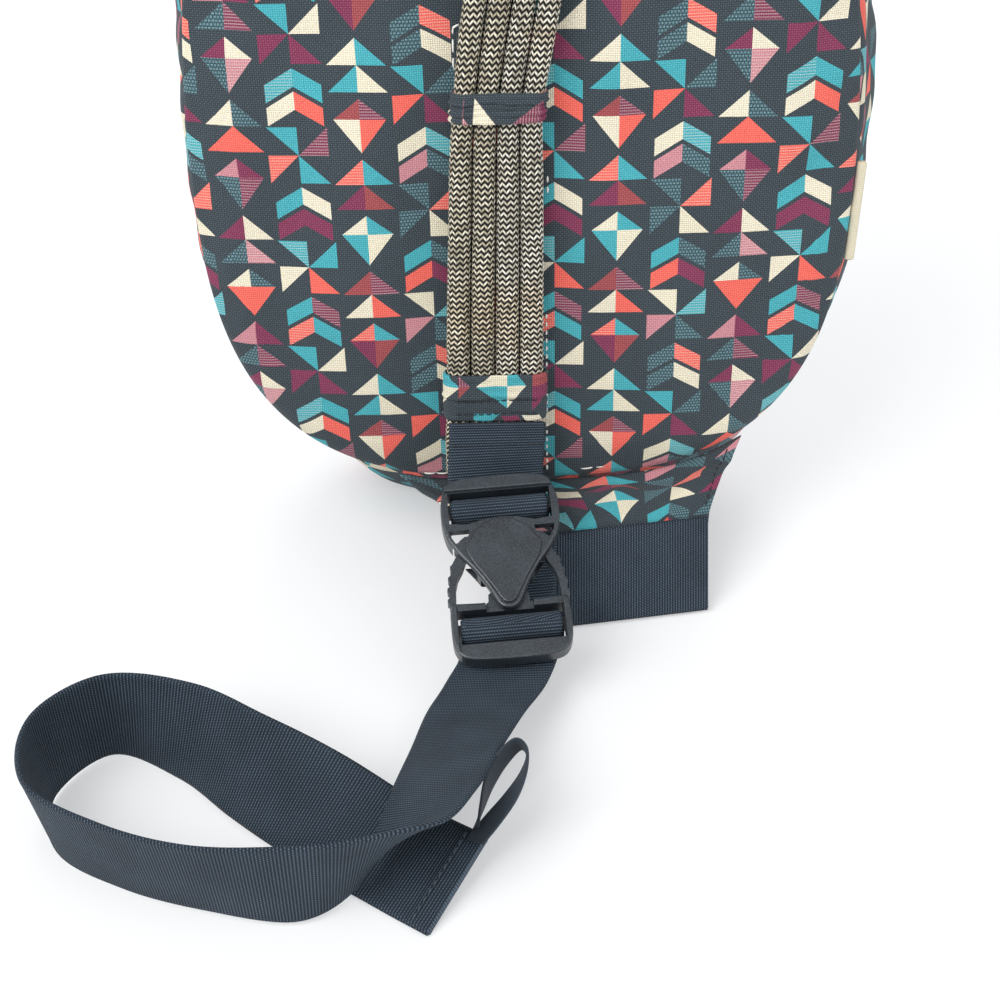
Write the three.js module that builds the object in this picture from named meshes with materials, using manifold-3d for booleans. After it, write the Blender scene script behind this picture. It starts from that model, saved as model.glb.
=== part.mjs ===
// Rope sling bag, filled out and standing on its flattened bottom, with the
// strap side to the front.
// Millimetres. X to the right, Y to the back, Z up. The floor is Z = 0, and the
// origin is the middle of the flat patch that the bag stands on.

import * as THREE from "three";
import { mergeVertices } from "three/addons/utils/BufferGeometryUtils.js";
import Module from "manifold-3d";

const wasm = await Module();
wasm.setup();

// Driving dimensions.
const GAP = 0.3;
const LEAN = THREE.MathUtils.degToRad(4);
const SIDE_LEAN = THREE.MathUtils.degToRad(1.2);

const BAG_HEIGHT = 480;
const PANEL_HALF_WIDTH = 123;
const WIDEST_AT = 135;
const TOP_HALF_WIDTH = 42;
const BOTTOM_ROUNDNESS = 2.9;
const TAPER_POWER = 1.6;
const SEAM_HEIGHT = 40;
const DEPTH_AT_BOTTOM = 86;
const DEPTH_AT_TOP = 46;
const SIDE_BULGE = 12;
const BOTTOM_BULGE = 42;
const FRONT_INSET = 6;
const BOTTOM_DROP = 30;
const REST_CENTRE = 62;

const PAD_EDGE = 5;
const PAD_CROWN = 12;
const FRONT_PUFF = 11;

const WEBBING_WIDTH = 38;
const WEBBING_THICKNESS = 1.8;
const CLOTH_THICKNESS = 1.6;
const LOOP_TAPE_WIDTH = 5.5;
const LOOP_TAPE_THICKNESS = 1;

const ROPE_DIAMETER = 8.2;
const ROPE_COUNT = 4;
const ROPE_PITCH_LOW = ROPE_DIAMETER + 1.5;
const ROPE_PITCH_HIGH = ROPE_DIAMETER + 0.3;
const ROPE_STANDOFF = 2.2;
const ROPE_TOP = BAG_HEIGHT - 22;
const ROPE_BOTTOM = 8;
const STRAP_OFFSET = -12.4;
const SLEEVE_WALL = 0.9;
const ANCHOR_SHIFT = 1.4;
const LOWER_WRAP_LENGTH = 20;
const LOWER_WRAP_AT = 44;
const KEEPER_LENGTH = 10.5;
const KEEPER_COUNT = 3;
const FIRST_KEEPER_AT = 158;
const LAST_KEEPER_BELOW_TOP = 70;
const TOP_WRAP_LENGTH = 30;

const ZIP_OFFSET = 40;
const ZIP_FROM = 66;
const ZIP_LENGTH = 300;
const TAPE_WIDTH = 14;
const TAPE_THICKNESS = 0.9;
const CHAIN_WIDTH = 5;
const CHAIN_HEIGHT = 2.2;
const SLIDER_LENGTH = 13;
const SLIDER_WIDTH = 10.5;
const STOP_TAB_LENGTH = 11;
const CORD_DIAMETER = 2;

const BUCKLE_SLOPE = THREE.MathUtils.degToRad(26);
const BUCKLE_YAW = THREE.MathUtils.degToRad(6);
const BUCKLE_ROLL = THREE.MathUtils.degToRad(-3);
const BUCKLE_TOP = new THREE.Vector3(-12.5, -29, 55);
const SLOT_HALF = WEBBING_WIDTH / 2 + 0.8;

const WING_LEAN = THREE.MathUtils.degToRad(34);
const WING_BASE_RIGHT = 73;
const WING_BASE_LEFT = -4;
const WING_KNEE_LEFT = -20;
const STRAP_TURN_AT = -7.5;

const PANEL_MIDDLE = 190;

function material(color, roughness, metalness = 0) {
  return new THREE.MeshStandardMaterial({ color, roughness, metalness });
}

const printedCloth = material(0x3b3a42, 0.9);
const blackWebbing = material(0x17171b, 0.85);
const braidedRope = material(0x8c877c, 0.9);
const blackPlastic = material(0x141416, 0.55);
const creamTape = material(0xd9d2c0, 0.9);
const zipTape = material(0x1c1c20, 0.9);
const zipMetal = material(0x8e8f92, 0.35, 0.9);
const cordMaterial = material(0x222226, 0.85);

// A closed solid for boolean work, from a geometry's bare positions.
function solidOf(geometry) {
  const bare = new THREE.BufferGeometry();
  bare.setAttribute("position", geometry.getAttribute("position").clone());
  if (geometry.index) {
    bare.setIndex(geometry.index.clone());
  }
  const merged = mergeVertices(bare, 1e-4);
  return new wasm.Manifold(
    new wasm.Mesh({
      numProp: 3,
      vertProperties: new Float32Array(merged.getAttribute("position").array),
      triVerts: new Uint32Array(merged.index.array),
    }),
  );
}

function geometryOf(solid) {
  const mesh = solid.getMesh();
  const geometry = new THREE.BufferGeometry();
  geometry.setAttribute("position", new THREE.BufferAttribute(new Float32Array(mesh.vertProperties), 3));
  geometry.setIndex(new THREE.BufferAttribute(new Uint32Array(mesh.triVerts), 1));
  geometry.computeVertexNormals();
  return geometry;
}

function join(...geometries) {
  return geometryOf(wasm.Manifold.union(geometries.map(solidOf)));
}

function cut(geometry, ...tools) {
  return geometryOf(solidOf(geometry).subtract(wasm.Manifold.union(tools.map(solidOf))));
}

function piece(parent, name, geometry, look) {
  const mesh = new THREE.Mesh(geometry, look);
  mesh.name = name;
  parent.add(mesh);
  return mesh;
}

// A closed skin from rings of points that all have the same count. The first
// and the last ring are closed by a fan about their own middle, or, on a thin
// band, by a strip between its two sides.
function skin(rings, band = false) {
  const count = rings[0].length;
  const positions = [];
  const index = [];
  for (const ring of rings) {
    for (const p of ring) {
      positions.push(p.x, p.y, p.z);
    }
  }
  for (let k = 0; k + 1 < rings.length; k++) {
    for (let i = 0; i < count; i++) {
      const a = k * count + i;
      const b = k * count + ((i + 1) % count);
      index.push(a, b, b + count);
      index.push(a, b + count, a + count);
    }
  }
  for (const k of [0, rings.length - 1]) {
    if (band) {
      for (let i = 0; i + 1 < count / 2; i++) {
        const [a, b] = k === 0 ? [i + 1, i] : [i, i + 1];
        const start = k * count;
        index.push(start + a, start + b, start + count - 1 - b);
        index.push(start + a, start + count - 1 - b, start + count - 1 - a);
      }
      continue;
    }
    const middle = new THREE.Vector3();
    for (const p of rings[k]) {
      middle.addScaledVector(p, 1 / count);
    }
    const centre = positions.length / 3;
    positions.push(middle.x, middle.y, middle.z);
    for (let i = 0; i < count; i++) {
      const a = k * count + i;
      const b = k * count + ((i + 1) % count);
      if (k === 0) {
        index.push(centre, b, a);
      } else {
        index.push(centre, a, b);
      }
    }
  }
  const geometry = new THREE.BufferGeometry();
  geometry.setAttribute("position", new THREE.Float32BufferAttribute(positions, 3));
  geometry.setIndex(index);
  geometry.computeVertexNormals();
  return geometry;
}

// A flat strap of even thickness between a left and a right edge, each given
// as a list of points.
function ribbon(left, right, thickness) {
  const rings = [];
  for (let i = 0; i < left.length; i++) {
    const before = Math.max(0, i - 1);
    const after = Math.min(left.length - 1, i + 1);
    const along = left[after].clone().add(right[after]).sub(left[before]).sub(right[before]);
    const across = right[i].clone().sub(left[i]);
    const lift = across.clone().cross(along).normalize().multiplyScalar(thickness / 2);
    rings.push([
      left[i].clone().sub(lift),
      left[i].clone().add(lift),
      right[i].clone().add(lift),
      right[i].clone().sub(lift),
    ]);
  }
  return skin(rings, true);
}

// Smooth edges of a strap through control pairs. The strap is set to an even
// width from one pair on; before it the pairs may lie on a slant across it.
function strapEdges(pairs, width, stepsPerPair, evenFrom = 0) {
  const leftCurve = new THREE.CatmullRomCurve3(pairs.map((pair) => pair[0]));
  const rightCurve = new THREE.CatmullRomCurve3(pairs.map((pair) => pair[1]));
  const steps = (pairs.length - 1) * stepsPerPair;
  const left = [];
  const right = [];
  for (let i = 0; i <= steps; i++) {
    const l = leftCurve.getPoint(i / steps);
    const r = rightCurve.getPoint(i / steps);
    const middle = l.clone().add(r).multiplyScalar(0.5);
    const half = r.clone().sub(l).multiplyScalar(0.5);
    if (i >= evenFrom * stepsPerPair) {
      half.setLength(width / 2);
    }
    left.push(middle.clone().sub(half));
    right.push(middle.clone().add(half));
  }
  return { left, right };
}

function box(x0, x1, y0, y1, z0, z1) {
  const geometry = new THREE.BoxGeometry(x1 - x0, y1 - y0, z1 - z0);
  geometry.translate((x0 + x1) / 2, (y0 + y1) / 2, (z0 + z1) / 2);
  return geometry;
}

function plate(shape, z0, z1, bevel = 0, curveSegments = 6) {
  const geometry = new THREE.ExtrudeGeometry(shape, {
    depth: z1 - z0 - 2 * bevel,
    bevelEnabled: bevel > 0,
    bevelThickness: bevel,
    bevelSize: bevel,
    bevelOffset: -bevel,
    bevelSegments: 2,
    curveSegments,
  });
  geometry.translate(0, 0, z0 + bevel);
  return geometry;
}

function circle(radius, sides) {
  const shape = new THREE.Shape();
  for (let i = 0; i < sides; i++) {
    const angle = (2 * Math.PI * i) / sides;
    const x = radius * Math.cos(angle);
    const y = radius * Math.sin(angle);
    if (i === 0) {
      shape.moveTo(x, y);
    } else {
      shape.lineTo(x, y);
    }
  }
  return shape;
}

function rod(points, radius, sides, steps) {
  return new THREE.ExtrudeGeometry(circle(radius, sides), {
    steps,
    extrudePath: new THREE.CatmullRomCurve3(points),
  });
}

// A symmetric outline from the points of its right half, top to tip, with the
// distance from the top counted downward.
function mirrored(half) {
  const right = half.map(([x, d]) => new THREE.Vector2(x, -d));
  const left = half
    .filter(([x]) => x > 1e-6)
    .map(([x, d]) => new THREE.Vector2(-x, -d))
    .reverse();
  return new THREE.Shape([...right, ...left]);
}

function smoothHalf(half, count) {
  const curve = new THREE.SplineCurve(half.map(([x, d]) => new THREE.Vector2(x, d)));
  return curve.getPoints(count).map((p) => [Math.max(0, p.x), p.y]);
}

const root = new THREE.Group();
root.position.set(0, -REST_CENTRE, 0);

const bag = new THREE.Group();
bag.position.set(0, 0, SEAM_HEIGHT);
bag.rotation.set(-LEAN, -SIDE_LEAN, 0);
bag.updateMatrix();
root.add(bag);

function fromBag(x, y, z) {
  return new THREE.Vector3(x, y, z).applyMatrix4(bag.matrix);
}

// Half the width of the strap-side panel at a height above its lowest point:
// a rounded bottom, then a taper to a rounded top.
function halfWidth(height) {
  if (height < WIDEST_AT) {
    const u = (WIDEST_AT - height) / WIDEST_AT;
    return PANEL_HALF_WIDTH * Math.pow(1 - Math.pow(u, BOTTOM_ROUNDNESS), 1 / BOTTOM_ROUNDNESS);
  }
  const u = (height - WIDEST_AT) / (BAG_HEIGHT - WIDEST_AT);
  const taper = 1 - (1 - TOP_HALF_WIDTH / PANEL_HALF_WIDTH) * Math.pow(u, TAPER_POWER);
  return PANEL_HALF_WIDTH * taper * Math.pow(Math.max(0, 1 - Math.pow(u, 14)), 0.45);
}

// The height of the panel's lower edge at a distance from the middle line.
function lowerEdge(x) {
  const u = Math.min(1, Math.abs(x) / PANEL_HALF_WIDTH);
  return WIDEST_AT * (1 - Math.pow(1 - Math.pow(u, BOTTOM_ROUNDNESS), 1 / BOTTOM_ROUNDNESS));
}

const OUTLINE_POINTS = 56;

function panelOutline() {
  const side = [];
  const steps = 120;
  for (let i = 0; i <= steps; i++) {
    const height = (BAG_HEIGHT * (1 - Math.cos((Math.PI * i) / steps))) / 2;
    side.push([halfWidth(height), height]);
  }
  const loop = [];
  for (const [w, height] of side) {
    loop.push(new THREE.Vector3(w, 0, height));
  }
  for (const [w, height] of side.slice(1, -1).reverse()) {
    loop.push(new THREE.Vector3(-w, 0, height));
  }
  const curve = new THREE.CatmullRomCurve3(loop, true);
  curve.arcLengthDivisions = 1200;
  return curve.getSpacedPoints(OUTLINE_POINTS).slice(0, OUTLINE_POINTS);
}

const outline = panelOutline();

const outward = outline.map((p, i) => {
  const next = outline[(i + 1) % OUTLINE_POINTS];
  const last = outline[(i + OUTLINE_POINTS - 1) % OUTLINE_POINTS];
  return new THREE.Vector3(next.z - last.z, 0, last.x - next.x).normalize();
});

function depthAt(height) {
  return DEPTH_AT_BOTTOM + ((DEPTH_AT_TOP - DEPTH_AT_BOTTOM) * height) / BAG_HEIGHT;
}

// How far the side wall stands out from the panel's outline, at a share of the
// way from the strap side (0) to the zip side (1). It sags most at the bottom.
function wallOffset(share, normal) {
  const down = Math.pow(Math.max(0, -normal.z), 4);
  const peak = SIDE_BULGE + (BOTTOM_BULGE - SIDE_BULGE) * down;
  const end = -FRONT_INSET + (BOTTOM_DROP + FRONT_INSET) * down;
  const top = 0.65;
  if (share < top) {
    return peak * Math.pow(Math.sin((Math.PI / 2) * (share / top)), 1.15);
  }
  return end + (peak - end) * Math.cos((Math.PI / 2) * ((share - top) / (1 - top)));
}

function wallRing(share) {
  return outline.map((p, i) => {
    const out = wallOffset(share, outward[i]);
    const height = p.z + outward[i].z * out;
    return new THREE.Vector3(p.x + outward[i].x * out, share * depthAt(height), height);
  });
}

// The filled main compartment, cut flat where it stands on the floor.
const floorBlock = box(-300, 300, -300, 300, -80, 0);
floorBlock.applyMatrix4(bag.matrix.clone().invert());
const filled = skin([1, 0.95, 0.86, 0.72, 0.56, 0.4, 0.24, 0.1, 0].map(wallRing));
piece(bag, "main_compartment", cut(filled, floorBlock), printedCloth);

// The padded panel that lies against the wearer's back, crowned to its middle.
function padHeight(reach) {
  return PAD_EDGE + (PAD_CROWN - PAD_EDGE) * (1 - Math.pow(Math.min(1, reach), 2.5));
}

function padRing(reach, y) {
  return outline.map((p) => {
    return new THREE.Vector3(p.x * reach, y, PANEL_MIDDLE + (p.z - PANEL_MIDDLE) * reach);
  });
}

const padRings = [padRing(1, -GAP), padRing(1, -0.6 * PAD_EDGE)];
for (const reach of [0.985, 0.94, 0.82, 0.62, 0.36]) {
  padRings.push(padRing(reach, -padHeight(reach)));
}
piece(bag, "back_panel", skin(padRings), printedCloth);

// The zip side is three puffed panels, with a zip in each valley between them.
const slotEnd = STOP_TAB_LENGTH + 2;

function slotHalf(height) {
  const inside = Math.min(height - (ZIP_FROM - slotEnd), ZIP_FROM + ZIP_LENGTH + slotEnd - height);
  return inside > -0.01 ? TAPE_WIDTH / 2 + 0.8 : 0.4;
}

const frontRing = wallRing(1);

function frontHalfWidth(height) {
  for (let i = 0; i < OUTLINE_POINTS; i++) {
    const a = frontRing[i];
    const b = frontRing[(i + 1) % OUTLINE_POINTS];
    if (a.x >= -1e-6 && b.x >= -1e-6 && a.z <= height && b.z >= height && b.z > a.z) {
      return a.x + ((b.x - a.x) * (height - a.z)) / (b.z - a.z);
    }
  }
  return 0;
}

const frontBottom = Math.min(...frontRing.map((p) => p.z));
const frontTop = Math.max(...frontRing.map((p) => p.z));

// One puffed panel between two side edges given as functions of height.
function puffedPanel(innerEdge, outerEdge, heights) {
  const rings = heights.map((height) => {
    const a = innerEdge(height);
    const b = outerEdge(height);
    const fromEnd = Math.min(height - heights[0], heights[heights.length - 1] - height);
    const ends = 0.35 + 0.65 * Math.min(1, Math.sqrt(Math.max(0, fromEnd) / 45));
    const base = depthAt(height) + GAP;
    const ring = [new THREE.Vector3(a, base, height)];
    for (const share of [0, 0.04, 0.14, 0.32, 0.5, 0.68, 0.86, 0.96, 1]) {
      const round = Math.pow(1 - Math.pow(Math.abs(2 * share - 1), 3), 0.6);
      const puff = Math.min(FRONT_PUFF, 0.3 * (b - a));
      ring.push(new THREE.Vector3(a + (b - a) * share, base + 1 + puff * ends * round, height));
    }
    ring.push(new THREE.Vector3(b, base, height));
    return ring;
  });
  return skin(rings.reverse());
}

function heightsBetween(from, to) {
  const edges = [ZIP_FROM - slotEnd, ZIP_FROM + ZIP_LENGTH + slotEnd];
  const heights = [];
  const count = 18;
  for (let i = 0; i <= count; i++) {
    heights.push(from + ((to - from) * (1 - Math.cos((Math.PI * i) / count))) / 2);
  }
  const clear = heights.filter((h) => edges.every((edge) => Math.abs(h - edge) > 4));
  for (const edge of edges) {
    clear.push(edge - 1.5, edge);
    if (edge > from && edge < to) {
      clear.push(edge + (edge < BAG_HEIGHT / 2 ? 0 : 1.5));
    }
  }
  return [...new Set(clear)].filter((h) => h >= from && h <= to).sort((p, q) => p - q);
}

const sideFrom = frontBottom + 22;
const sideTo = ZIP_FROM + ZIP_LENGTH + 48;
const sideHeights = heightsBetween(sideFrom, sideTo);
const middleHeights = heightsBetween(frontBottom + 3, frontTop - 4);
const margin = 1.5;

function zipEdge(height, side) {
  return ZIP_OFFSET + side * slotHalf(height);
}

piece(
  bag,
  "front_panel_right",
  puffedPanel(
    (h) => zipEdge(h, 1),
    (h) => Math.max(zipEdge(h, 1) + 2, frontHalfWidth(h) - margin),
    sideHeights,
  ),
  printedCloth,
);
piece(
  bag,
  "front_panel_left",
  puffedPanel(
    (h) => -Math.max(zipEdge(h, 1) + 2, frontHalfWidth(h) - margin),
    (h) => -zipEdge(h, 1),
    sideHeights,
  ),
  printedCloth,
);
piece(
  bag,
  "front_panel_middle",
  puffedPanel(
    (h) => -Math.max(2, Math.min(zipEdge(h, -1), frontHalfWidth(h) - margin)),
    (h) => Math.max(2, Math.min(zipEdge(h, -1), frontHalfWidth(h) - margin)),
    middleHeights,
  ),
  printedCloth,
);

// A zip lies on the flat zip side: tape, coil chain, slider with its cord pull,
// and a cloth tab over each end.
function zip(name, x) {
  const slope = (DEPTH_AT_TOP - DEPTH_AT_BOTTOM) / BAG_HEIGHT;
  const group = new THREE.Group();
  const upward = new THREE.Vector3(0, slope, 1).normalize();
  const facing = new THREE.Vector3(0, 1, -slope).normalize();
  const basis = new THREE.Matrix4().makeBasis(new THREE.Vector3(-1, 0, 0), upward, facing);
  group.quaternion.setFromRotationMatrix(basis);
  group.position.set(x, depthAt(ZIP_FROM), ZIP_FROM);
  bag.add(group);

  const tapeTop = GAP + TAPE_THICKNESS;
  const halfTape = TAPE_WIDTH / 2;
  piece(group, `${name}_zip_tape`, box(-halfTape, halfTape, 0, ZIP_LENGTH, GAP, tapeTop), zipTape);

  const section = new THREE.Shape();
  section.moveTo(-CHAIN_WIDTH / 2, 0);
  section.lineTo(CHAIN_WIDTH / 2, 0);
  section.lineTo(CHAIN_WIDTH / 2, 0.5 * CHAIN_HEIGHT);
  section.quadraticCurveTo(CHAIN_WIDTH / 2, CHAIN_HEIGHT, 0.4, CHAIN_HEIGHT);
  section.lineTo(-0.4, CHAIN_HEIGHT);
  section.quadraticCurveTo(-CHAIN_WIDTH / 2, CHAIN_HEIGHT, -CHAIN_WIDTH / 2, 0.5 * CHAIN_HEIGHT);
  const chain = new THREE.ExtrudeGeometry(section, {
    depth: ZIP_LENGTH - 2,
    bevelEnabled: false,
    curveSegments: 3,
  });
  chain.rotateX(Math.PI / 2);
  chain.translate(0, ZIP_LENGTH - 1, 0);
  const chainBase = tapeTop + GAP;
  chain.translate(0, 0, chainBase);
  piece(group, `${name}_zip_chain`, chain, zipTape);

  const tabHalf = halfTape + 0.3;
  const tabTop = GAP + 2.4;
  const lowTab = box(-tabHalf, tabHalf, -STOP_TAB_LENGTH - GAP, -GAP, GAP, tabTop);
  piece(group, `${name}_zip_bottom_tab`, lowTab, printedCloth);
  const highTab = lowTab.clone();
  highTab.translate(0, ZIP_LENGTH + STOP_TAB_LENGTH + 2 * GAP, 0);
  piece(group, `${name}_zip_top_tab`, highTab, printedCloth);

  const rider = new THREE.Group();
  rider.position.set(0, ZIP_LENGTH - SLIDER_LENGTH, 0);
  group.add(rider);
  piece(rider, `${name}_zip_slider`, zipSlider(chainBase), zipMetal);
  piece(rider, `${name}_zip_pull`, zipPull(chainBase), cordMaterial);
}

// The slider rides over the chain: a waisted body with a channel, and a bridge
// for the pull on top.
function zipSlider(chainBase) {
  const half = SLIDER_WIDTH / 2;
  const long = SLIDER_LENGTH / 2;
  const bodyTop = chainBase + CHAIN_HEIGHT + GAP + 1.6;
  const waist = smoothHalf(
    [
      [0, -long],
      [half - 0.6, -long + 0.4],
      [half, -long + 2.5],
      [half - 1.2, 1],
      [half - 0.3, long - 2],
      [half - 2.4, long],
      [0, long],
    ],
    24,
  );
  const body = plate(mirrored(waist), chainBase, bodyTop, 0.4);
  const channelHalf = CHAIN_WIDTH / 2 + GAP;
  const channel = box(-channelHalf, channelHalf, -20, 20, -1, chainBase + CHAIN_HEIGHT + GAP);
  const side = new THREE.Shape();
  side.moveTo(-4.6, 0);
  side.lineTo(4.6, 0);
  side.bezierCurveTo(4.6, 3, 3.6, 4.6, 2.2, 4.6);
  side.lineTo(-2.2, 4.6);
  side.bezierCurveTo(-3.6, 4.6, -4.6, 3, -4.6, 0);
  const eye = new THREE.Path();
  eye.moveTo(-2.9, 0.5);
  eye.lineTo(-2.2, 3.3);
  eye.lineTo(2.2, 3.3);
  eye.lineTo(2.9, 0.5);
  eye.closePath();
  side.holes.push(eye);
  const bridge = plate(side, -1.5, 1.5, 0, 4);
  bridge.rotateY(Math.PI / 2);
  bridge.rotateX(Math.PI / 2);
  bridge.translate(0, 0, bodyTop - 0.2);
  return cut(join(body, bridge), channel);
}

// A loop of cord through the bridge, its two ends held in a moulded grip.
function zipPull(chainBase) {
  const bodyTop = chainBase + CHAIN_HEIGHT + GAP + 1.6;
  const radius = CORD_DIAMETER / 2;
  const eyeHeight = bodyTop + 1.7;
  const low = chainBase + CHAIN_HEIGHT + 3.2;
  const half = [
    [0, -0.7, eyeHeight],
    [2.6, -1.2, eyeHeight + 0.1],
    [4.0, -4.5, eyeHeight],
    [4.2, -9, eyeHeight - 0.4],
    [3.0, -20, low + 0.6],
    [1.5, -32, low],
    [1.3, -36, low],
  ];
  const points = [];
  for (const [x, y, z] of [...half].reverse()) {
    points.push(new THREE.Vector3(-x, y, z));
  }
  for (const [x, y, z] of half.slice(1)) {
    points.push(new THREE.Vector3(x, y, z));
  }
  const cord = rod(points, radius, 8, 22);
  const grip = new THREE.CapsuleGeometry(2.7, 15, 3, 8);
  grip.translate(0, -41, low);
  return join(cord, grip);
}

zip("main", ZIP_OFFSET);
zip("pocket", -ZIP_OFFSET);

// The rope strap: parallel cords that follow the crown of the padded panel.
// They hang plumb over the panel's lower half, which leans a little to one side.
function strapX(height) {
  const plumb = height * Math.tan(SIDE_LEAN) * (1 - THREE.MathUtils.smoothstep(height, 255, 420));
  return STRAP_OFFSET * (1 - THREE.MathUtils.smoothstep(height, 140, 255)) + plumb;
}

// The cords stand apart at the lower wrap and close up towards the first keeper.
function ropePitch(height) {
  const u = THREE.MathUtils.smoothstep(height, LOWER_WRAP_AT, FIRST_KEEPER_AT);
  return THREE.MathUtils.lerp(ROPE_PITCH_LOW, ROPE_PITCH_HIGH, u);
}

function strapY(height) {
  const reach =
    height < PANEL_MIDDLE
      ? (PANEL_MIDDLE - height) / PANEL_MIDDLE
      : (height - PANEL_MIDDLE) / (BAG_HEIGHT - PANEL_MIDDLE);
  return -(padHeight(reach) + ROPE_STANDOFF + ROPE_DIAMETER / 2);
}

for (let i = 0; i < ROPE_COUNT; i++) {
  const place = i - (ROPE_COUNT - 1) / 2;
  const points = [];
  const steps = 18;
  for (let k = 0; k <= steps; k++) {
    const height = ROPE_BOTTOM + ((ROPE_TOP - ROPE_BOTTOM) * k) / steps;
    const x = strapX(height) + place * ropePitch(height);
    points.push(new THREE.Vector3(x, strapY(height), height));
  }
  const cord = rod(points, ROPE_DIAMETER / 2, 10, 16);
  piece(bag, `rope_cord_${i + 1}`, cord, braidedRope);
}

function stadium(target, halfLength, radius) {
  target.moveTo(-halfLength, -radius);
  target.lineTo(halfLength, -radius);
  target.absarc(halfLength, 0, radius, -Math.PI / 2, Math.PI / 2, false);
  target.lineTo(-halfLength, radius);
  target.absarc(-halfLength, 0, radius, Math.PI / 2, (3 * Math.PI) / 2, false);
  return target;
}

// A cloth sleeve sewn round the cords, centred on a height of the strap.
function sleeve(name, height, length, stretch = 0) {
  const inner = ROPE_DIAMETER / 2 + 0.4;
  const halfLength = ((ROPE_COUNT - 1) / 2) * ropePitch(height - length / 2);
  const shape = stadium(new THREE.Shape(), halfLength, inner + SLEEVE_WALL + stretch);
  shape.holes.push(stadium(new THREE.Path(), halfLength, inner));
  const tube = plate(shape, -length / 2, length / 2, 0, 6);
  const mesh = piece(bag, name, tube, printedCloth);
  mesh.position.set(strapX(height), strapY(height), height);
  const rise = strapY(height + 5) - strapY(height - 5);
  const drift = strapX(height + 5) - strapX(height - 5);
  mesh.rotation.set(-Math.atan2(rise, 10), Math.atan2(drift, 10), 0);
}

sleeve("rope_end_wrap", LOWER_WRAP_AT, LOWER_WRAP_LENGTH, 0.2);
for (let i = 0; i < KEEPER_COUNT; i++) {
  const share = i / (KEEPER_COUNT - 1);
  const height = THREE.MathUtils.lerp(FIRST_KEEPER_AT, ROPE_TOP - LAST_KEEPER_BELOW_TOP, share);
  sleeve(`rope_keeper_${i + 1}`, height, KEEPER_LENGTH);
}
sleeve("rope_top_wrap", ROPE_TOP - 9, TOP_WRAP_LENGTH, 0.2);

// A folded cream tab caught in the side seam.
const tabHeight = 110;
const tabLength = 39;
const tab = plate(
  mirrored([
    [1.2, 0],
    [1.2, 3.6],
    [0.7, 4.2],
    [0, 4.4],
  ]),
  -tabLength / 2,
  tabLength / 2,
  0,
);
tab.rotateZ(Math.PI / 2);
const sideTab = piece(bag, "side_tab", tab, creamTape);
sideTab.position.set(halfWidth(tabHeight) + 0.9, -1.8, tabHeight);
const edgeDrift = halfWidth(tabHeight + 15) - halfWidth(tabHeight - 15);
sideTab.rotation.y = Math.atan2(edgeDrift, 30);

// The side-release buckle. Each half is drawn in the buckle's own plane, with
// the distance from the top counted down its length.
const buckle = new THREE.Group();
buckle.position.copy(BUCKLE_TOP);
buckle.rotation.set(BUCKLE_SLOPE, BUCKLE_ROLL, BUCKLE_YAW, "ZXY");
buckle.updateMatrix();
root.add(buckle);

function fromBuckle(x, down, z) {
  return new THREE.Vector3(x, -down, z).applyMatrix4(buckle.matrix);
}

function bothSides(make) {
  return [make(1), make(-1)];
}

function slot(halfWide, from, to, z0, z1) {
  return box(-halfWide, halfWide, -to, -from, z0, z1);
}

const BODY_HALF = 4.5;
const ARM_HALF = 2.3;
const CAVITY_HALF = ARM_HALF + 0.5;
const ARM_INNER = 12.4;
const BARB_OUTER = 18.9;
const BUCKLE_HALF = 22.8;
const FEMALE_LENGTH = 57;
const BAR_1 = 10.4;
const BAR_1_END = 14.8;
const PLATE_FROM = 18.4;

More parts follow.
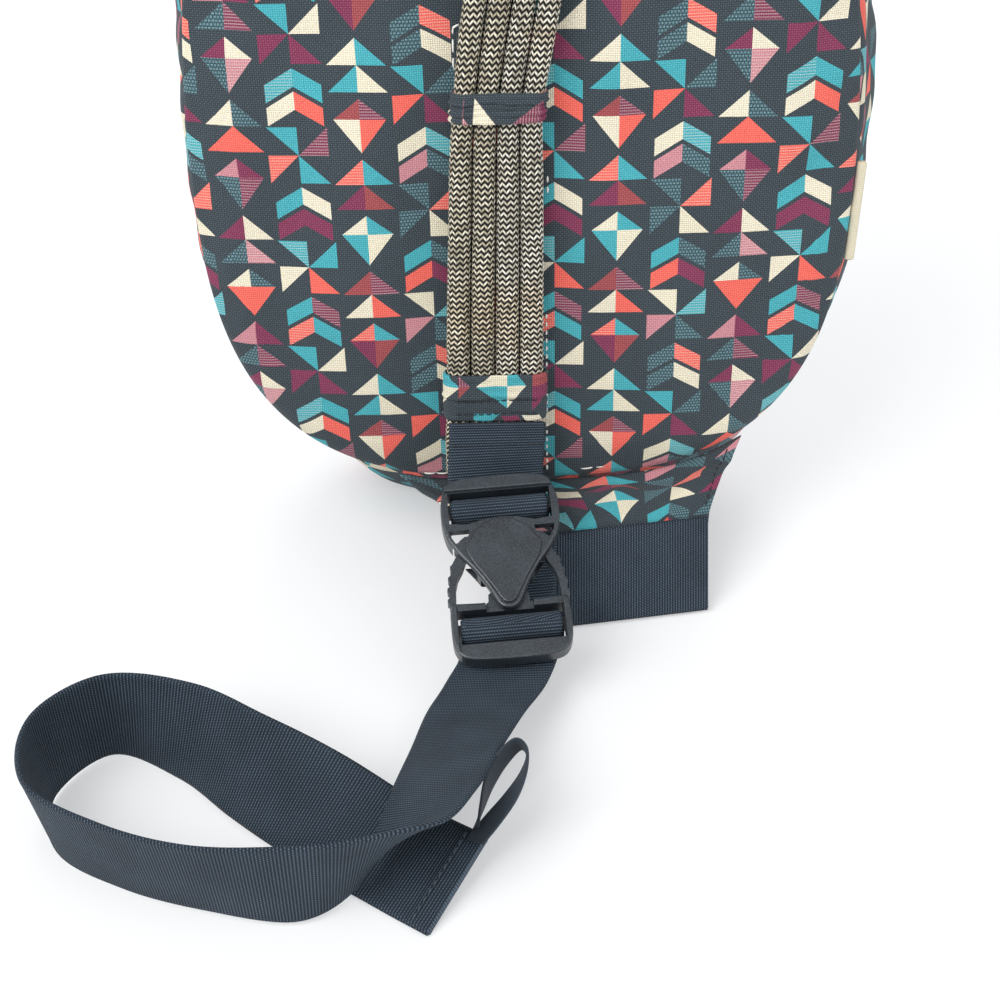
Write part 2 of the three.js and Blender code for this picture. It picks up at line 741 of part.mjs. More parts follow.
function femaleHalf() {
  const body = plate(
    mirrored(
      smoothHalf(
        [
          [0, 0],
          [11, 0.3],
          [18.4, 2],
          [21.6, 6],
          [BUCKLE_HALF, 13],
          [BUCKLE_HALF - 0.2, 20],
          [21.3, 26],
          [19, 30.2],
          [16.2, 34.6],
          [12.2, 40],
          [8.4, 46],
          [5.7, 51.4],
          [4, 55],
          [2.2, 56.6],
          [0, FEMALE_LENGTH],
        ],
        48,
      ),
    ),
    -BODY_HALF,
    BODY_HALF,
    0.9,
  );
  const topBar = plate(
    mirrored([
      [0, 0.3],
      [7, 0.4],
      [13, 0.8],
      [17.6, 1.8],
      [20.4, 3.6],
      [20.8, 6.2],
      [0, 6.2],
    ]),
    -1,
    6,
    0.6,
  );
  const shield = plate(
    mirrored(
      smoothHalf(
        [
          [0, PLATE_FROM + 1],
          [3.8, PLATE_FROM + 1.6],
          [7.6, 22],
          [10.8, 24.6],
          [12.2, 27.4],
          [14.2, 30],
          [14.2, 32.6],
          [12.2, 37.6],
          [8.6, 43.4],
          [5.4, 48.8],
          [3.4, 52.6],
          [1.9, 54.8],
          [0, 55.4],
        ],
        40,
      ),
    ),
    BODY_HALF - 0.5,
    BODY_HALF + 1.2,
    0.5,
  );
  const openSlot = plate(
    mirrored([
      [SLOT_HALF, BAR_1_END],
      [SLOT_HALF, PLATE_FROM + 1.6],
      [13, PLATE_FROM + 2.4],
      [6, PLATE_FROM + 0.5],
      [0, PLATE_FROM],
    ]),
    -10,
    10,
  );
  const windows = bothSides((side) =>
    plate(
      new THREE.Shape([
        new THREE.Vector2(side * 12.4, -23.2),
        new THREE.Vector2(side * 20.2, -23.2),
        new THREE.Vector2(side * 19.9, -25.2),
        new THREE.Vector2(side * 18, -28.7),
        new THREE.Vector2(side * 14.6, -27.2),
        new THREE.Vector2(side * 12.8, -25.4),
      ]),
      -10,
      10,
    ),
  );
  const cavities = bothSides((side) => {
    const inner = side * (ARM_INNER - 1.4);
    const outer = side * (BARB_OUTER + 0.5);
    return box(Math.min(inner, outer), Math.max(inner, outer), -70, -23.6, -CAVITY_HALF, CAVITY_HALF);
  });
  const hollows = bothSides((side) => {
    const inner = side * (ARM_INNER - 1.2);
    const outer = side * (BARB_OUTER + 0.5);
    return box(Math.min(inner, outer), Math.max(inner, outer), -36, -PLATE_FROM - 0.6, -10, 1.2);
  });
  return cut(
    join(body, topBar, shield),
    slot(SLOT_HALF, 6.2, BAR_1, -10, 4),
    slot(SLOT_HALF, -2, 7, -10, -1),
    slot(SLOT_HALF, 6.6, BAR_1, 3, 10),
    slot(SLOT_HALF, BAR_1 - 1, BAR_1_END + 1, 1.9, 10),
    slot(SLOT_HALF, BAR_1 - 1, BAR_1_END + 1, -10, -2.3),
    openSlot,
    slot(30, 43.5, 70, -10, 1.5),
    ...windows,
    ...cavities,
    ...hollows,
  );
}

const FRAME_FROM = 53.5;
const FRAME_TO = 77.4;
const FRAME_HALF = 22.4;
const FRAME_TOP = 3.8;
const BAR_2 = 61.9;
const BAR_2_END = 65.9;
const BAR_3 = 70.6;

function maleHalf() {
  const frame = plate(
    mirrored(
      smoothHalf(
        [
          [0, FRAME_FROM + 0.6],
          [12, FRAME_FROM + 0.3],
          [19, FRAME_FROM],
          [21.6, FRAME_FROM],
          [FRAME_HALF, FRAME_FROM + 4],
          [FRAME_HALF, 66],
          [21.6, 71.6],
          [18.4, 75.6],
          [11, 77],
          [0, FRAME_TO],
        ],
        32,
      ),
    ),
    -FRAME_TOP,
    FRAME_TOP,
    0.8,
  );
  const arms = bothSides((side) => {
    const outer = [
      [21.9, 57],
      [22.4, 53.6],
    ];
    for (const [x, d] of [[22.3, 51.4], [22.1, 46.8], [21.5, 42.2], [20.4, 37.6]]) {
      outer.push([x, d + 1.3], [x + 0.7, d + 0.5], [x + 0.6, d - 0.5], [x - 0.2, d - 1.2]);
    }
    outer.push(
      [18.6, 33.4],
      [17.4, 31.4],
      [BARB_OUTER, 30.4],
      [BARB_OUTER - 0.5, 29.2],
      [16.4, 26.4],
      [14.4, 24.8],
      [13, 24.8],
      [ARM_INNER, 26.6],
      [13.2, 30],
      [14.6, 34],
      [16.4, 38.4],
      [18.4, 42],
      [19.5, 46],
      [19.9, 53],
      [20.2, 57],
    );
    const shape = new THREE.Shape(outer.map(([x, d]) => new THREE.Vector2(side * x, -d)));
    return plate(shape, -ARM_HALF, ARM_HALF);
  });
  const tongue = plate(
    mirrored([
      [6.2, 48.2],
      [7.6, 49.6],
      [7.8, FRAME_FROM + 2],
    ]),
    -3,
    0.7,
  );
  const rails = bothSides((side) => {
    const [inner, outer] = [SLOT_HALF + 0.1, FRAME_HALF - 0.2];
    const corners = [
      [inner, FRAME_FROM + 1.4],
      [outer - 0.4, FRAME_FROM + 1.4],
      [outer, 60],
      [outer, 66],
      [outer - 0.7, 71],
      [inner, 73.4],
    ];
    const shape = new THREE.Shape(corners.map(([x, d]) => new THREE.Vector2(side * x, -d)));
    return plate(shape, 1, FRAME_TOP + 1.4, 0.5);
  });
  return cut(
    join(frame, tongue, ...rails, ...arms),
    slot(SLOT_HALF, 56.8, BAR_2, -10, 10),
    slot(SLOT_HALF, BAR_2_END, BAR_3, -10, 10),
    slot(SLOT_HALF, BAR_2 - 1, BAR_2_END + 1, 2.3, 10),
    slot(SLOT_HALF, BAR_2 - 1, BAR_2_END + 1, -10, -2.3),
    slot(9, 45, 57, 0.9, 10),
  );
}

piece(buckle, "buckle_female", femaleHalf(), blackPlastic);
piece(buckle, "buckle_male", maleHalf(), blackPlastic);

// Webbing pairs: the two edges of a strap at one place along it.
function alongBuckle(down, z, shift = 0) {
  const half = WEBBING_WIDTH / 2;
  return [fromBuckle(shift - half, down, z), fromBuckle(shift + half, down, z)];
}

function acrossBag(y, height) {
  const x = strapX(height) + ANCHOR_SHIFT;
  return [fromBag(x - WEBBING_WIDTH / 2, y, height), fromBag(x + WEBBING_WIDTH / 2, y, height)];
}

// The anchor strap comes down over the cords, goes under the buckle's top bar,
// round its second bar and back up behind itself.
const wrapFoot = LOWER_WRAP_AT - LOWER_WRAP_LENGTH / 2 - GAP - 0.4;
const onCords = strapY(wrapFoot) - ROPE_DIAMETER / 2 - WEBBING_THICKNESS / 2 - GAP;
const anchorPairs = [
  acrossBag(onCords, wrapFoot),
  acrossBag(onCords - 0.2, wrapFoot - 5),
  alongBuckle(-3.4, -5.0),
  alongBuckle(2, -4.6),
  alongBuckle(6, -3.4),
  alongBuckle(8.3, -0.6),
  alongBuckle(9.4, 2.4),
  alongBuckle(12.6, 3.8),
  alongBuckle(15.9, 2.4),
  alongBuckle(16.8, -0.6),
  alongBuckle(15.8, -3.7),
  alongBuckle(12.4, -5.2),
  alongBuckle(8, -6.2),
  alongBuckle(2, -8.2),
  alongBuckle(-2, -9.6),
];
const anchorEdges = strapEdges(anchorPairs, WEBBING_WIDTH, 3);
const anchor = ribbon(anchorEdges.left, anchorEdges.right, WEBBING_THICKNESS);
piece(root, "anchor_strap", anchor, blackWebbing);

// The wing is sewn along the panel's lower edge and leans down to the floor in
// front of the bag. Its strap is sewn flat along its lower edge.
function wingFoot(x) {
  return -42 - 0.19 * (WING_BASE_RIGHT - x);
}

function onWing(x, up, off) {
  const lean = Math.sin(WING_LEAN);
  const rise = Math.cos(WING_LEAN);
  return new THREE.Vector3(x, wingFoot(x) + up * lean - off * rise, up * rise + off * lean);
}

const strapOff = WEBBING_THICKNESS / 2 + 0.4;
const wingStrapLeft = [];
const wingStrapRight = [];
const wingStrapSteps = 6;
const turnRight = STRAP_TURN_AT + WEBBING_WIDTH / 2;
const turnLeft = STRAP_TURN_AT - WEBBING_WIDTH / 2;
const wingStrapEnd = turnRight + 2;
for (let i = 0; i <= wingStrapSteps; i++) {
  const x = THREE.MathUtils.lerp(WING_BASE_RIGHT, wingStrapEnd, i / wingStrapSteps);
  wingStrapLeft.push(onWing(x, 1, strapOff));
  wingStrapRight.push(onWing(x, 1 + WEBBING_WIDTH, strapOff));
}
const wingStrap = ribbon(wingStrapRight, wingStrapLeft, WEBBING_THICKNESS);
piece(root, "wing_strap", wingStrap, blackWebbing);

// A place just outside the panel's lower edge.
function belowSeam(x, off) {
  const slope = lowerEdge(x + 0.5) - lowerEdge(x - 0.5);
  const long = Math.hypot(1, slope);
  return fromBag(x + (off * slope) / long, -2.2, lowerEdge(x) - off / long);
}

const wingRows = [];
const wingColumns = 16;
for (const row of [0, 0.35, 0.7, 1, 1.3, 1.7, 2]) {
  const line = [];
  for (let i = 0; i <= wingColumns; i++) {
    const v = i / wingColumns;
    const foot = THREE.MathUtils.lerp(WING_BASE_LEFT, WING_BASE_RIGHT - 3, v);
    const knee = THREE.MathUtils.lerp(WING_KNEE_LEFT, WING_BASE_RIGHT + 1, v);
    const seam = THREE.MathUtils.lerp(-52, 86, v);
    if (row <= 1) {
      const x = THREE.MathUtils.lerp(foot, knee, row);
      line.push(onWing(x, 2 + row * (WEBBING_WIDTH + 1), -CLOTH_THICKNESS / 2));
    } else {
      const u = row - 1;
      const a = onWing(knee, 3 + WEBBING_WIDTH, -CLOTH_THICKNESS / 2);
      const b = belowSeam(seam, 2.4);
      const p = a.clone().lerp(b, u);
      p.z += 2.4 * Math.sin(Math.PI * Math.min(1, u / 0.7)) * (1 - 0.5 * Math.cos(5 * Math.PI * v));
      line.push(p);
    }
  }
  wingRows.push(line);
}

// A cloth sheet of even thickness over a grid of points.
function sheet(rows, thickness) {
  const rings = rows.map((row, k) => {
    const before = rows[Math.max(0, k - 1)];
    const after = rows[Math.min(rows.length - 1, k + 1)];
    const upper = [];
    const lower = [];
    row.forEach((p, i) => {
      const last = row[Math.max(0, i - 1)];
      const next = row[Math.min(row.length - 1, i + 1)];
      const across = next.clone().sub(last);
      const along = after[i].clone().sub(before[i]);
      const lift = across.cross(along).normalize().multiplyScalar(thickness / 2);
      upper.push(p.clone().add(lift));
      lower.push(p.clone().sub(lift));
    });
    return [...upper, ...lower.reverse()];
  });
  return skin(rings, true);
}

piece(root, "wing", sheet(wingRows, CLOTH_THICKNESS), printedCloth);

// The adjuster strap goes on from the wing strap. It is folded over on a slant
// under the buckle, runs over the floor, rises through the lower half of the
// buckle, and its tail winds over the floor to a hem.
const foldTop = 1 + WEBBING_WIDTH;

function beforeFold(share) {
  const from = wingStrapEnd - GAP;
  return [
    onWing(THREE.MathUtils.lerp(from, turnLeft, share), 1, strapOff),
    onWing(THREE.MathUtils.lerp(from, turnRight, share), foldTop, strapOff),
  ];
}

// The two layers of the fold lie a strap's thickness and a gap apart.
const foldRadius = (WEBBING_THICKNESS + 0.5) / 2;

function roundFold(degrees) {
  const angle = THREE.MathUtils.degToRad(degrees);
  const out = (foldRadius * Math.sin(angle)) / Math.SQRT2;
  const off = strapOff + foldRadius * (1 - Math.cos(angle));
  return [onWing(turnLeft - out, 1 + out, off), onWing(turnRight - out, foldTop + out, off)];
}

const overFold = strapOff + 2 * foldRadius;

function afterFold(leftY, leftZ, up, off = 0.5) {
  return [new THREE.Vector3(turnLeft, leftY, leftZ), onWing(turnRight, up, overFold + off)];
}

function overFloor(leftY, leftZ, rightY, rightZ) {
  return [new THREE.Vector3(turnLeft, leftY, leftZ), new THREE.Vector3(turnRight, rightY, rightZ)];
}

// A place of the tail: its left edge, the way it heads, and how far its right
// edge is raised from lying flat.
function laid(x, y, z, headingDegrees, raisedDegrees) {
  const heading = THREE.MathUtils.degToRad(headingDegrees);
  const raised = THREE.MathUtils.degToRad(raisedDegrees);
  const left = new THREE.Vector3(x, y, z);
  const leftHand = new THREE.Vector3(-Math.sin(heading), Math.cos(heading), 0);
  const edge = new THREE.Vector3(0, 0, Math.sin(raised)).addScaledVector(leftHand, Math.cos(raised));
  return [left, left.clone().addScaledVector(edge, WEBBING_WIDTH)];
}

const turnPairs = [
  beforeFold(0),
  beforeFold(0.4),
  beforeFold(0.75),
  roundFold(0),
  roundFold(60),
  roundFold(120),
  roundFold(180),
  afterFold(-66, 2.6, 30),
  afterFold(-68.6, 2.1, 18),
  afterFold(-70.8, 2, 7),
  overFloor(-73.2, 2.6, -61, 2.6),
  overFloor(-76.2, 4.8, -68.6, 2.6),
  overFloor(-79.4, 10.5, -75.4, 8.5),
];
const adjusterPairs = [
  ...turnPairs,
  alongBuckle(58.6, -7),
  alongBuckle(59.2, -2),
  alongBuckle(60.1, 2.2),
  alongBuckle(61.8, 4),
  alongBuckle(63.9, 4.4),
  alongBuckle(66, 4),
  alongBuckle(67.8, 2.2),
  alongBuckle(68.4, -2),
  alongBuckle(69.6, -5.3, -0.8),
  alongBuckle(73, -7, -2.4),
  laid(-31.5, -99.5, 11.2, -101, 8),
  laid(-37.5, -115, 11.5, -106, 14),
  laid(-42, -136, 14, -112, 22),
  laid(-47.5, -163, 19, -119, 28),
  laid(-52, -181, 16.5, -122, 40),
  laid(-54.5, -189, 8.5, -138, 62),
  laid(-64.5, -197.5, 2.2, -155, 78),
  laid(-76, -202.5, 1.2, -176, 88),
  laid(-105, -197.5, 1, 167, 90),
  laid(-133, -188.5, 1, 156, 90),
  laid(-158, -173, 1, 125, 88),
  laid(-166, -148, 1, 75, 86),
  laid(-150, -128, 1, 10, 88),
  laid(-124, -139, 1, -38, 70),
  laid(-104, -156, 1.2, -41, 56),
  laid(-84, -173, 1.2, -38, 38),
  laid(-62, -189, 1, -34, 21),
  laid(-46, -200, 1, -33, 19),
  laid(-34, -208, 1.1, -33, 21),
];
const adjusterEdges = strapEdges(adjusterPairs, WEBBING_WIDTH, 3, turnPairs.length);
const adjuster = ribbon(adjusterEdges.left, adjusterEdges.right, WEBBING_THICKNESS);
piece(root, "adjuster_strap", adjuster, blackWebbing);

// A loop of narrow tape sewn in the tail's hem, its width square to the hem.
const hemLow = adjusterEdges.left.at(-1);
const hemTop = adjusterEdges.right.at(-1);
const hemAlong = hemTop.clone().sub(hemLow).normalize();
const tailAlong = new THREE.Vector3(Math.cos(-0.58), Math.sin(-0.58), 0);
const tapeSide = hemAlong.clone().cross(tailAlong).normalize();
if (tapeSide.z < 0) {
  tapeSide.negate();
}

function nearHem(along, out, up) {
  const middle = hemLow.clone().addScaledVector(hemAlong, along).addScaledVector(tailAlong, out);
  middle.z += up;
  const half = tapeSide.clone().multiplyScalar(LOOP_TAPE_WIDTH / 2);
  return [middle.clone().sub(half), middle.clone().add(half)];
}

const loopEdges = strapEdges(
  [
    nearHem(28, 0.9, 0.2),
    nearHem(33, 4.4, 0.8),
    nearHem(46, 8, 1.6),
    nearHem(60, 8.4, 2.2),
    nearHem(68, 5, 2.4),
    nearHem(66, 1, 2.2),
    nearHem(54, -0.6, 1.6),
    nearHem(44, 0.4, 0.9),
    nearHem(35.5, 0.9, 0.2),
  ],
  LOOP_TAPE_WIDTH,
  4,
);
piece(root, "pull_loop", ribbon(loopEdges.left, loopEdges.right, LOOP_TAPE_THICKNESS), blackWebbing);

export default root;
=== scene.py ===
# %% [markdown]
# # Dressing a rope sling bag
#
# The solid model gives the sizes and the places of every piece. This lesson
# dresses it: printed canvas, braided ropes, ribbed webbing and moulded plastic.
# Every new surface is a formula on a grid of two parameters, worked out with
# numpy as whole arrays, and then put into a mesh in one step.

# %% Load the solid model
import math

import bpy
import numpy as np
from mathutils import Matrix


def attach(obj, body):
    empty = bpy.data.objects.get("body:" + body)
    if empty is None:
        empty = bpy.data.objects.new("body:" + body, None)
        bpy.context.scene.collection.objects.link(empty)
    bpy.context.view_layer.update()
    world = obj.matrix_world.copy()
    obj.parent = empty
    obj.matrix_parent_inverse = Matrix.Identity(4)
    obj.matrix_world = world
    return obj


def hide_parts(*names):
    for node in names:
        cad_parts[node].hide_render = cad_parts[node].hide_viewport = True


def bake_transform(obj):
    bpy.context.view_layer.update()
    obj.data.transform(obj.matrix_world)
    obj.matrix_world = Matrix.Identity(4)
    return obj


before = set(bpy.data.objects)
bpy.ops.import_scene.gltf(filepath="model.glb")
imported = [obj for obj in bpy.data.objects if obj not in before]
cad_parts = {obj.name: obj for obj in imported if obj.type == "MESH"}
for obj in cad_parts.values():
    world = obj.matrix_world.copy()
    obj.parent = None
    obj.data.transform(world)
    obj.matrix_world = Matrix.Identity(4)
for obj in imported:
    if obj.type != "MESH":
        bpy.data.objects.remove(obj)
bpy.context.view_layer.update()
scene = bpy.context.scene
MM = 0.001

# %% [markdown]
# ## The view
#
# The bag was photographed from a little above the buckle, looking down at 34
# degrees with a short telephoto lens. The camera comes first, so that each piece
# can be judged in the picture as soon as it is made.

# %% Camera
CAMERA_PLACE, LOOKING_DOWN = (-0.011, -0.592, 0.384), 34
SENSOR_WIDTH, FOCAL_SHARE = 36, 1.527
camera = bpy.data.objects.new("view", bpy.data.cameras.new("view"))
camera.location = CAMERA_PLACE
camera.rotation_euler = (math.radians(90 - LOOKING_DOWN), 0, 0)
camera.data.sensor_width = SENSOR_WIDTH
camera.data.lens = SENSOR_WIDTH * FOCAL_SHARE
camera.data.clip_start = 0.01
scene.collection.objects.link(camera)
scene.camera = camera
scene.view_settings.view_transform = "Standard"
print("camera lens:", round(camera.data.lens, 1), "mm")

# %% [markdown]
# ## The lamps
#
# Soft light from a large lamp on the left, a weaker one on the right and one
# behind. The larger a lamp is, the softer its shadows are, so all three are large.

# %% Lamps
LAMPS = (
    ("key", (-1.0, -1.1, 1.5), (0, -0.1, 0.15), 1.3, 34),
    ("fill", (1.3, -0.9, 1.0), (0, -0.1, 0.2), 1.5, 10),
    ("back", (0.3, 1.4, 1.4), (0, 0, 0.2), 1.4, 16),
)


def area_light(name, place, target, size, power):
    """A square lamp of the given size at a place, turned to face a target."""
    lamp = bpy.data.lights.new(name, "AREA")
    lamp.energy = power
    lamp.size = size
    holder = bpy.data.objects.new(name, lamp)
    holder.location = place
    aim = np.subtract(target, place)
    tilt = math.atan2(math.hypot(aim[0], aim[1]), -aim[2])
    holder.rotation_euler = (tilt, 0, math.atan2(aim[1], aim[0]) - math.pi / 2)
    scene.collection.objects.link(holder)


for lamp_row in LAMPS:
    area_light(*lamp_row)
print("lamps:", len(bpy.data.lights))

# %% [markdown]
# ## The sky and the floor
#
# An even sky fills the shadows. It is white to the camera and in reflections, and
# weaker as light, so the background is white and the shadows stay deep enough.
# The same switch later makes the floor near white, and it still takes a shadow.

# %% Sky and floor
SKY_LIGHT, SKY_STRENGTH = (0.94, 0.97, 1.0, 1), 0.62
SEEN_WHITE = (0.955, 0.97, 0.985, 1)
FLOOR_REACH = 3


def straight_rays(tree):
    """The greatest of three marks of the Light Path node: 1 for rays from the
    camera, off a gloss or through glass, and 0 for all others."""
    ray = tree.nodes.new("ShaderNodeLightPath")
    share = ray.outputs["Is Camera Ray"]
    for mark in ("Is Glossy Ray", "Is Transmission Ray"):
        greater = tree.nodes.new("ShaderNodeMath")
        greater.operation = "MAXIMUM"
        tree.links.new(share, greater.inputs[0])
        tree.links.new(ray.outputs[mark], greater.inputs[1])
        share = greater.outputs[0]
    return share


def mix_shaders(tree, share, low, high, output):
    """Joins two shaders: low where the share is 0, and high where it is 1."""
    both = tree.nodes.new("ShaderNodeMixShader")
    tree.links.new(share, both.inputs[0])
    tree.links.new(low.outputs[0], both.inputs[1])
    tree.links.new(high.outputs[0], both.inputs[2])
    tree.links.new(both.outputs[0], tree.nodes[output].inputs["Surface"])


sky = bpy.data.worlds.new("sky")
sky.use_nodes = True
sky_tree = sky.node_tree
even = sky_tree.nodes["Background"]
even.inputs["Color"].default_value = SKY_LIGHT
even.inputs["Strength"].default_value = SKY_STRENGTH
seen = sky_tree.nodes.new("ShaderNodeBackground")
seen.inputs["Color"].default_value = SEEN_WHITE
mix_shaders(sky_tree, straight_rays(sky_tree), even, seen, "World Output")
scene.world = sky

floor_mesh = bpy.data.meshes.new("floor")
signs = ((-1, -1), (1, -1), (1, 1), (-1, 1))
floor_corners = [(i * FLOOR_REACH, j * FLOOR_REACH, 0) for i, j in signs]
floor_mesh.from_pydata(floor_corners, [], [(0, 1, 2, 3)])
floor = bpy.data.objects.new("floor", floor_mesh)
scene.collection.objects.link(floor)
print("sky and floor made, floor half width", FLOOR_REACH, "m")

# %% [markdown]
# ## From a grid to a mesh
#
# All pieces share one small tool. It takes a grid of points, joins neighbours
# with four-sided faces, closes the grid round its columns and, where asked, round
# its rows, and closes open ends with one flat face each. Every corner of every
# face gets its own map coordinate, so a pattern can run round a closed tube
# without a torn column. A closed skin whose volume comes out negative is inside
# out, and is turned round.

# %% Mesh tools
def mesh_object(name, points, loops, sizes, maps):
    """Points, face corners, corners per face and a map value per corner, put
    into a mesh whose faces point outwards. The volume is the sum, over all
    corners, of the triple product of a face's first point and two neighbours."""
    starts = np.concatenate([[0], np.cumsum(sizes)[:-1]])
    ends = starts + sizes - 1
    following = np.arange(loops.size) + 1
    following[ends] = starts
    first = points[np.repeat(loops[starts], sizes)]
    turned = np.cross(points[loops], points[loops[following]])
    if np.einsum("ij,ij->i", first, turned).sum() < 0:
        order = np.repeat(starts + ends, sizes) - np.arange(loops.size)
        loops, maps = loops[order], maps[order]
    mesh = bpy.data.meshes.new(name)
    mesh.vertices.add(len(points))
    mesh.vertices.foreach_set("co", points.astype(np.float32).ravel())
    mesh.loops.add(loops.size)
    mesh.loops.foreach_set("vertex_index", loops.astype(np.int32))
    mesh.polygons.add(len(sizes))
    mesh.polygons.foreach_set("loop_start", starts.astype(np.int32))
    mesh.update(calc_edges=True)
    layer = mesh.uv_layers.new(name="chart")
    layer.data.foreach_set("uv", maps.astype(np.float32).ravel())
    mesh.polygons.foreach_set("use_smooth", np.ones(len(sizes), dtype=bool))
    mesh.validate()
    piece = bpy.data.objects.new(name, mesh)
    scene.collection.objects.link(piece)
    return piece


def skin(name, points, chart, along=False):
    """A closed mesh from points[row, column] in metres, closed round its columns
    and, where along is set, round its rows. chart[row, column] is its map, one
    column longer, and one row longer where the rows close."""
    rows, columns = points.shape[:2]
    r = np.arange(rows if along else rows - 1)[:, None]
    c = np.arange(columns)[None, :]
    this, c2 = r * columns, (c + 1) % columns
    above = (r + 1) % rows * columns
    quads = np.broadcast_arrays(this + c, this + c2, above + c2, above + c)
    loops = np.stack(quads, -1).reshape(-1)
    corners = [chart[r, c], chart[r, c + 1], chart[r + 1, c + 1], chart[r + 1, c]]
    maps = np.stack(corners, 2).reshape(-1, 2)
    sizes = np.full(loops.size // 4, 4)
    if not along:
        ring = np.arange(columns)
        loops = np.concatenate([loops, ring[::-1], (rows - 1) * columns + ring])
        maps = np.concatenate([maps, chart[0, ring[::-1]], chart[rows - 1, ring]])
        sizes = np.concatenate([sizes, [columns, columns]])
    return mesh_object(name, points.reshape(-1, 3), loops, sizes, maps)


def dress(piece, finish, slot, *nodes, body="bag"):
    """Gives a piece its finish and its body, and hides the solids it stands for."""
    piece.data.materials.append(finish)
    if body:
        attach(piece, body)
    if nodes:
        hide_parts(*nodes)
    print(piece.name, len(piece.data.vertices), "points")
    return piece


# %% [markdown]
# ## Small array tools
#
# Cloth is never quite even. A few helpers on whole arrays give soft steps, uneven
# waves, lengths along a path and directions of length one.

# %% Array tools
WAVES = 5


def smoothstep(x, low, high):
    """0 below low, 1 above high, and 3t^2 - 2t^3 between them."""
    t = np.clip((x - low) / (high - low), 0, 1)
    return t * t * (3 - 2 * t)


def ripple(x, y, seed):
    """A soft uneven wave between about -1 and 1: a sum of sine waves whose
    directions and phases come from a fixed seed. x and y are in wave lengths."""
    rng = np.random.default_rng(seed)
    total = np.zeros(np.broadcast(x, y).shape)
    for _ in range(WAVES):
        turn, phase = rng.uniform(0, 2 * np.pi, 2)
        pace = rng.uniform(0.6, 1.5)
        way = x * np.cos(turn) + y * np.sin(turn)
        total = total + np.sin(2 * np.pi * pace * way + phase)
    return total / WAVES ** 0.5 / 1.5


def bell(x, centre, width):
    """A hump of height 1: e to the power of minus the squared distance."""
    return np.exp(-(((x - centre) / width) ** 2))


def squared_off(wave, power):
    """A sine or cosine made fuller: its size to a power, with its sign kept."""
    return np.sign(wave) * np.abs(wave) ** power


def unit(vectors):
    """The same directions with a length of one."""
    return vectors / np.linalg.norm(vectors, axis=-1, keepdims=True)


def run_along(path):
    """The length from the path's start to each of its places."""
    steps = np.linalg.norm(np.diff(path, axis=0), axis=1)
    return np.concatenate([[0], np.cumsum(steps)])


def at_run(at, run, places):
    """Places picked by their length along a path, between the known ones."""
    return np.stack([np.interp(at, run, places[:, k]) for k in range(3)], -1)


def chart_of(u, v):
    """A map in metres from two arrays in millimetres."""
    return np.stack(np.broadcast_arrays(u, v), -1) * MM


print("half way up a soft step:", smoothstep(0.5, 0, 1))

# %% [markdown]
# ## Stitches, teeth and other small repeats
#
# A seam shows as a row of short threads, and a zip as a row of coil turns. Each
# is a thin tube with closed ends. All tubes of a row are worked out together as
# one array and go into one mesh.

# %% Small repeats
HEXAGON = np.arange(6) * np.pi / 3


def beads(name, rings):
    """Many small closed tubes as one mesh, from rings[tube, ring, side] in metres."""
    tubes, count, sides = rings.shape[:3]
    r, c = np.arange(count - 1)[:, None] * sides, np.arange(sides)[None, :]
    c2 = (c + 1) % sides
    quads = np.broadcast_arrays(r + c, r + c2, r + sides + c2, r + sides + c)
    walls = np.stack(quads, -1).reshape(-1)
    ring = np.arange(sides)
    one_tube = np.concatenate([walls, ring[::-1], (count - 1) * sides + ring])
    loops = (one_tube + np.arange(tubes)[:, None] * count * sides).reshape(-1)
    one_sizes = np.concatenate([np.full(walls.size // 4, 4), [sides, sides]])
    points = rings.reshape(-1, 3)
    maps = points[loops][:, [0, 2]]
    return mesh_object(name, points, loops, np.tile(one_sizes, tubes), maps)


def sewn(name, path, facing, finish, slot, pitch, share=0.78, radius=0.3):
    """A row of stitches on a path in metres. Each tube rises out of the cloth,
    runs on and dips back in: its lift and its thickness follow half a sine."""
    run = run_along(path)
    count = max(1, int(run[-1] / MM / pitch))
    t = np.linspace(0, 1, 5)
    at = (np.arange(count)[:, None] + (1 - share) / 2 + share * t) * run[-1] / count
    centre, up = at_run(at, run, path), at_run(at, run, facing)
    along = at_run(at, run, np.gradient(path, axis=0))
    side = unit(np.cross(along, up))
    bow = np.sin(np.pi * t)[:, None] ** 0.6
    centre = centre + up * (radius * (1.5 * bow - 0.9)) * MM
    angle = HEXAGON[:, None]
    ring = side[:, :, None] * np.cos(angle) + up[:, :, None] * np.sin(angle)
    thick = (radius * (0.5 + 0.5 * bow))[:, None]
    return dress(beads(name, centre[:, :, None] + ring * thick * MM), finish, slot)


print("sides of a thread:", len(HEXAGON))

# %% [markdown]
# ## Air inside sewn cloth
#
# A padded piece gets its fullness from a short cloth simulation. The seams are
# pinned, air pushes from inside, and the cloth is a little larger than its frame,
# so it bulges and puckers near the seams as filled cloth does. How far each point
# may go is capped, so the piece stays in the space of its solid.

# %% Air
AIR_STEPS, AIR_PRESSURE = 20, 4.0
CLOTH_QUALITY, CLOTH_MASS, CLOTH_STIFFNESS = 4, 0.3, 0.3


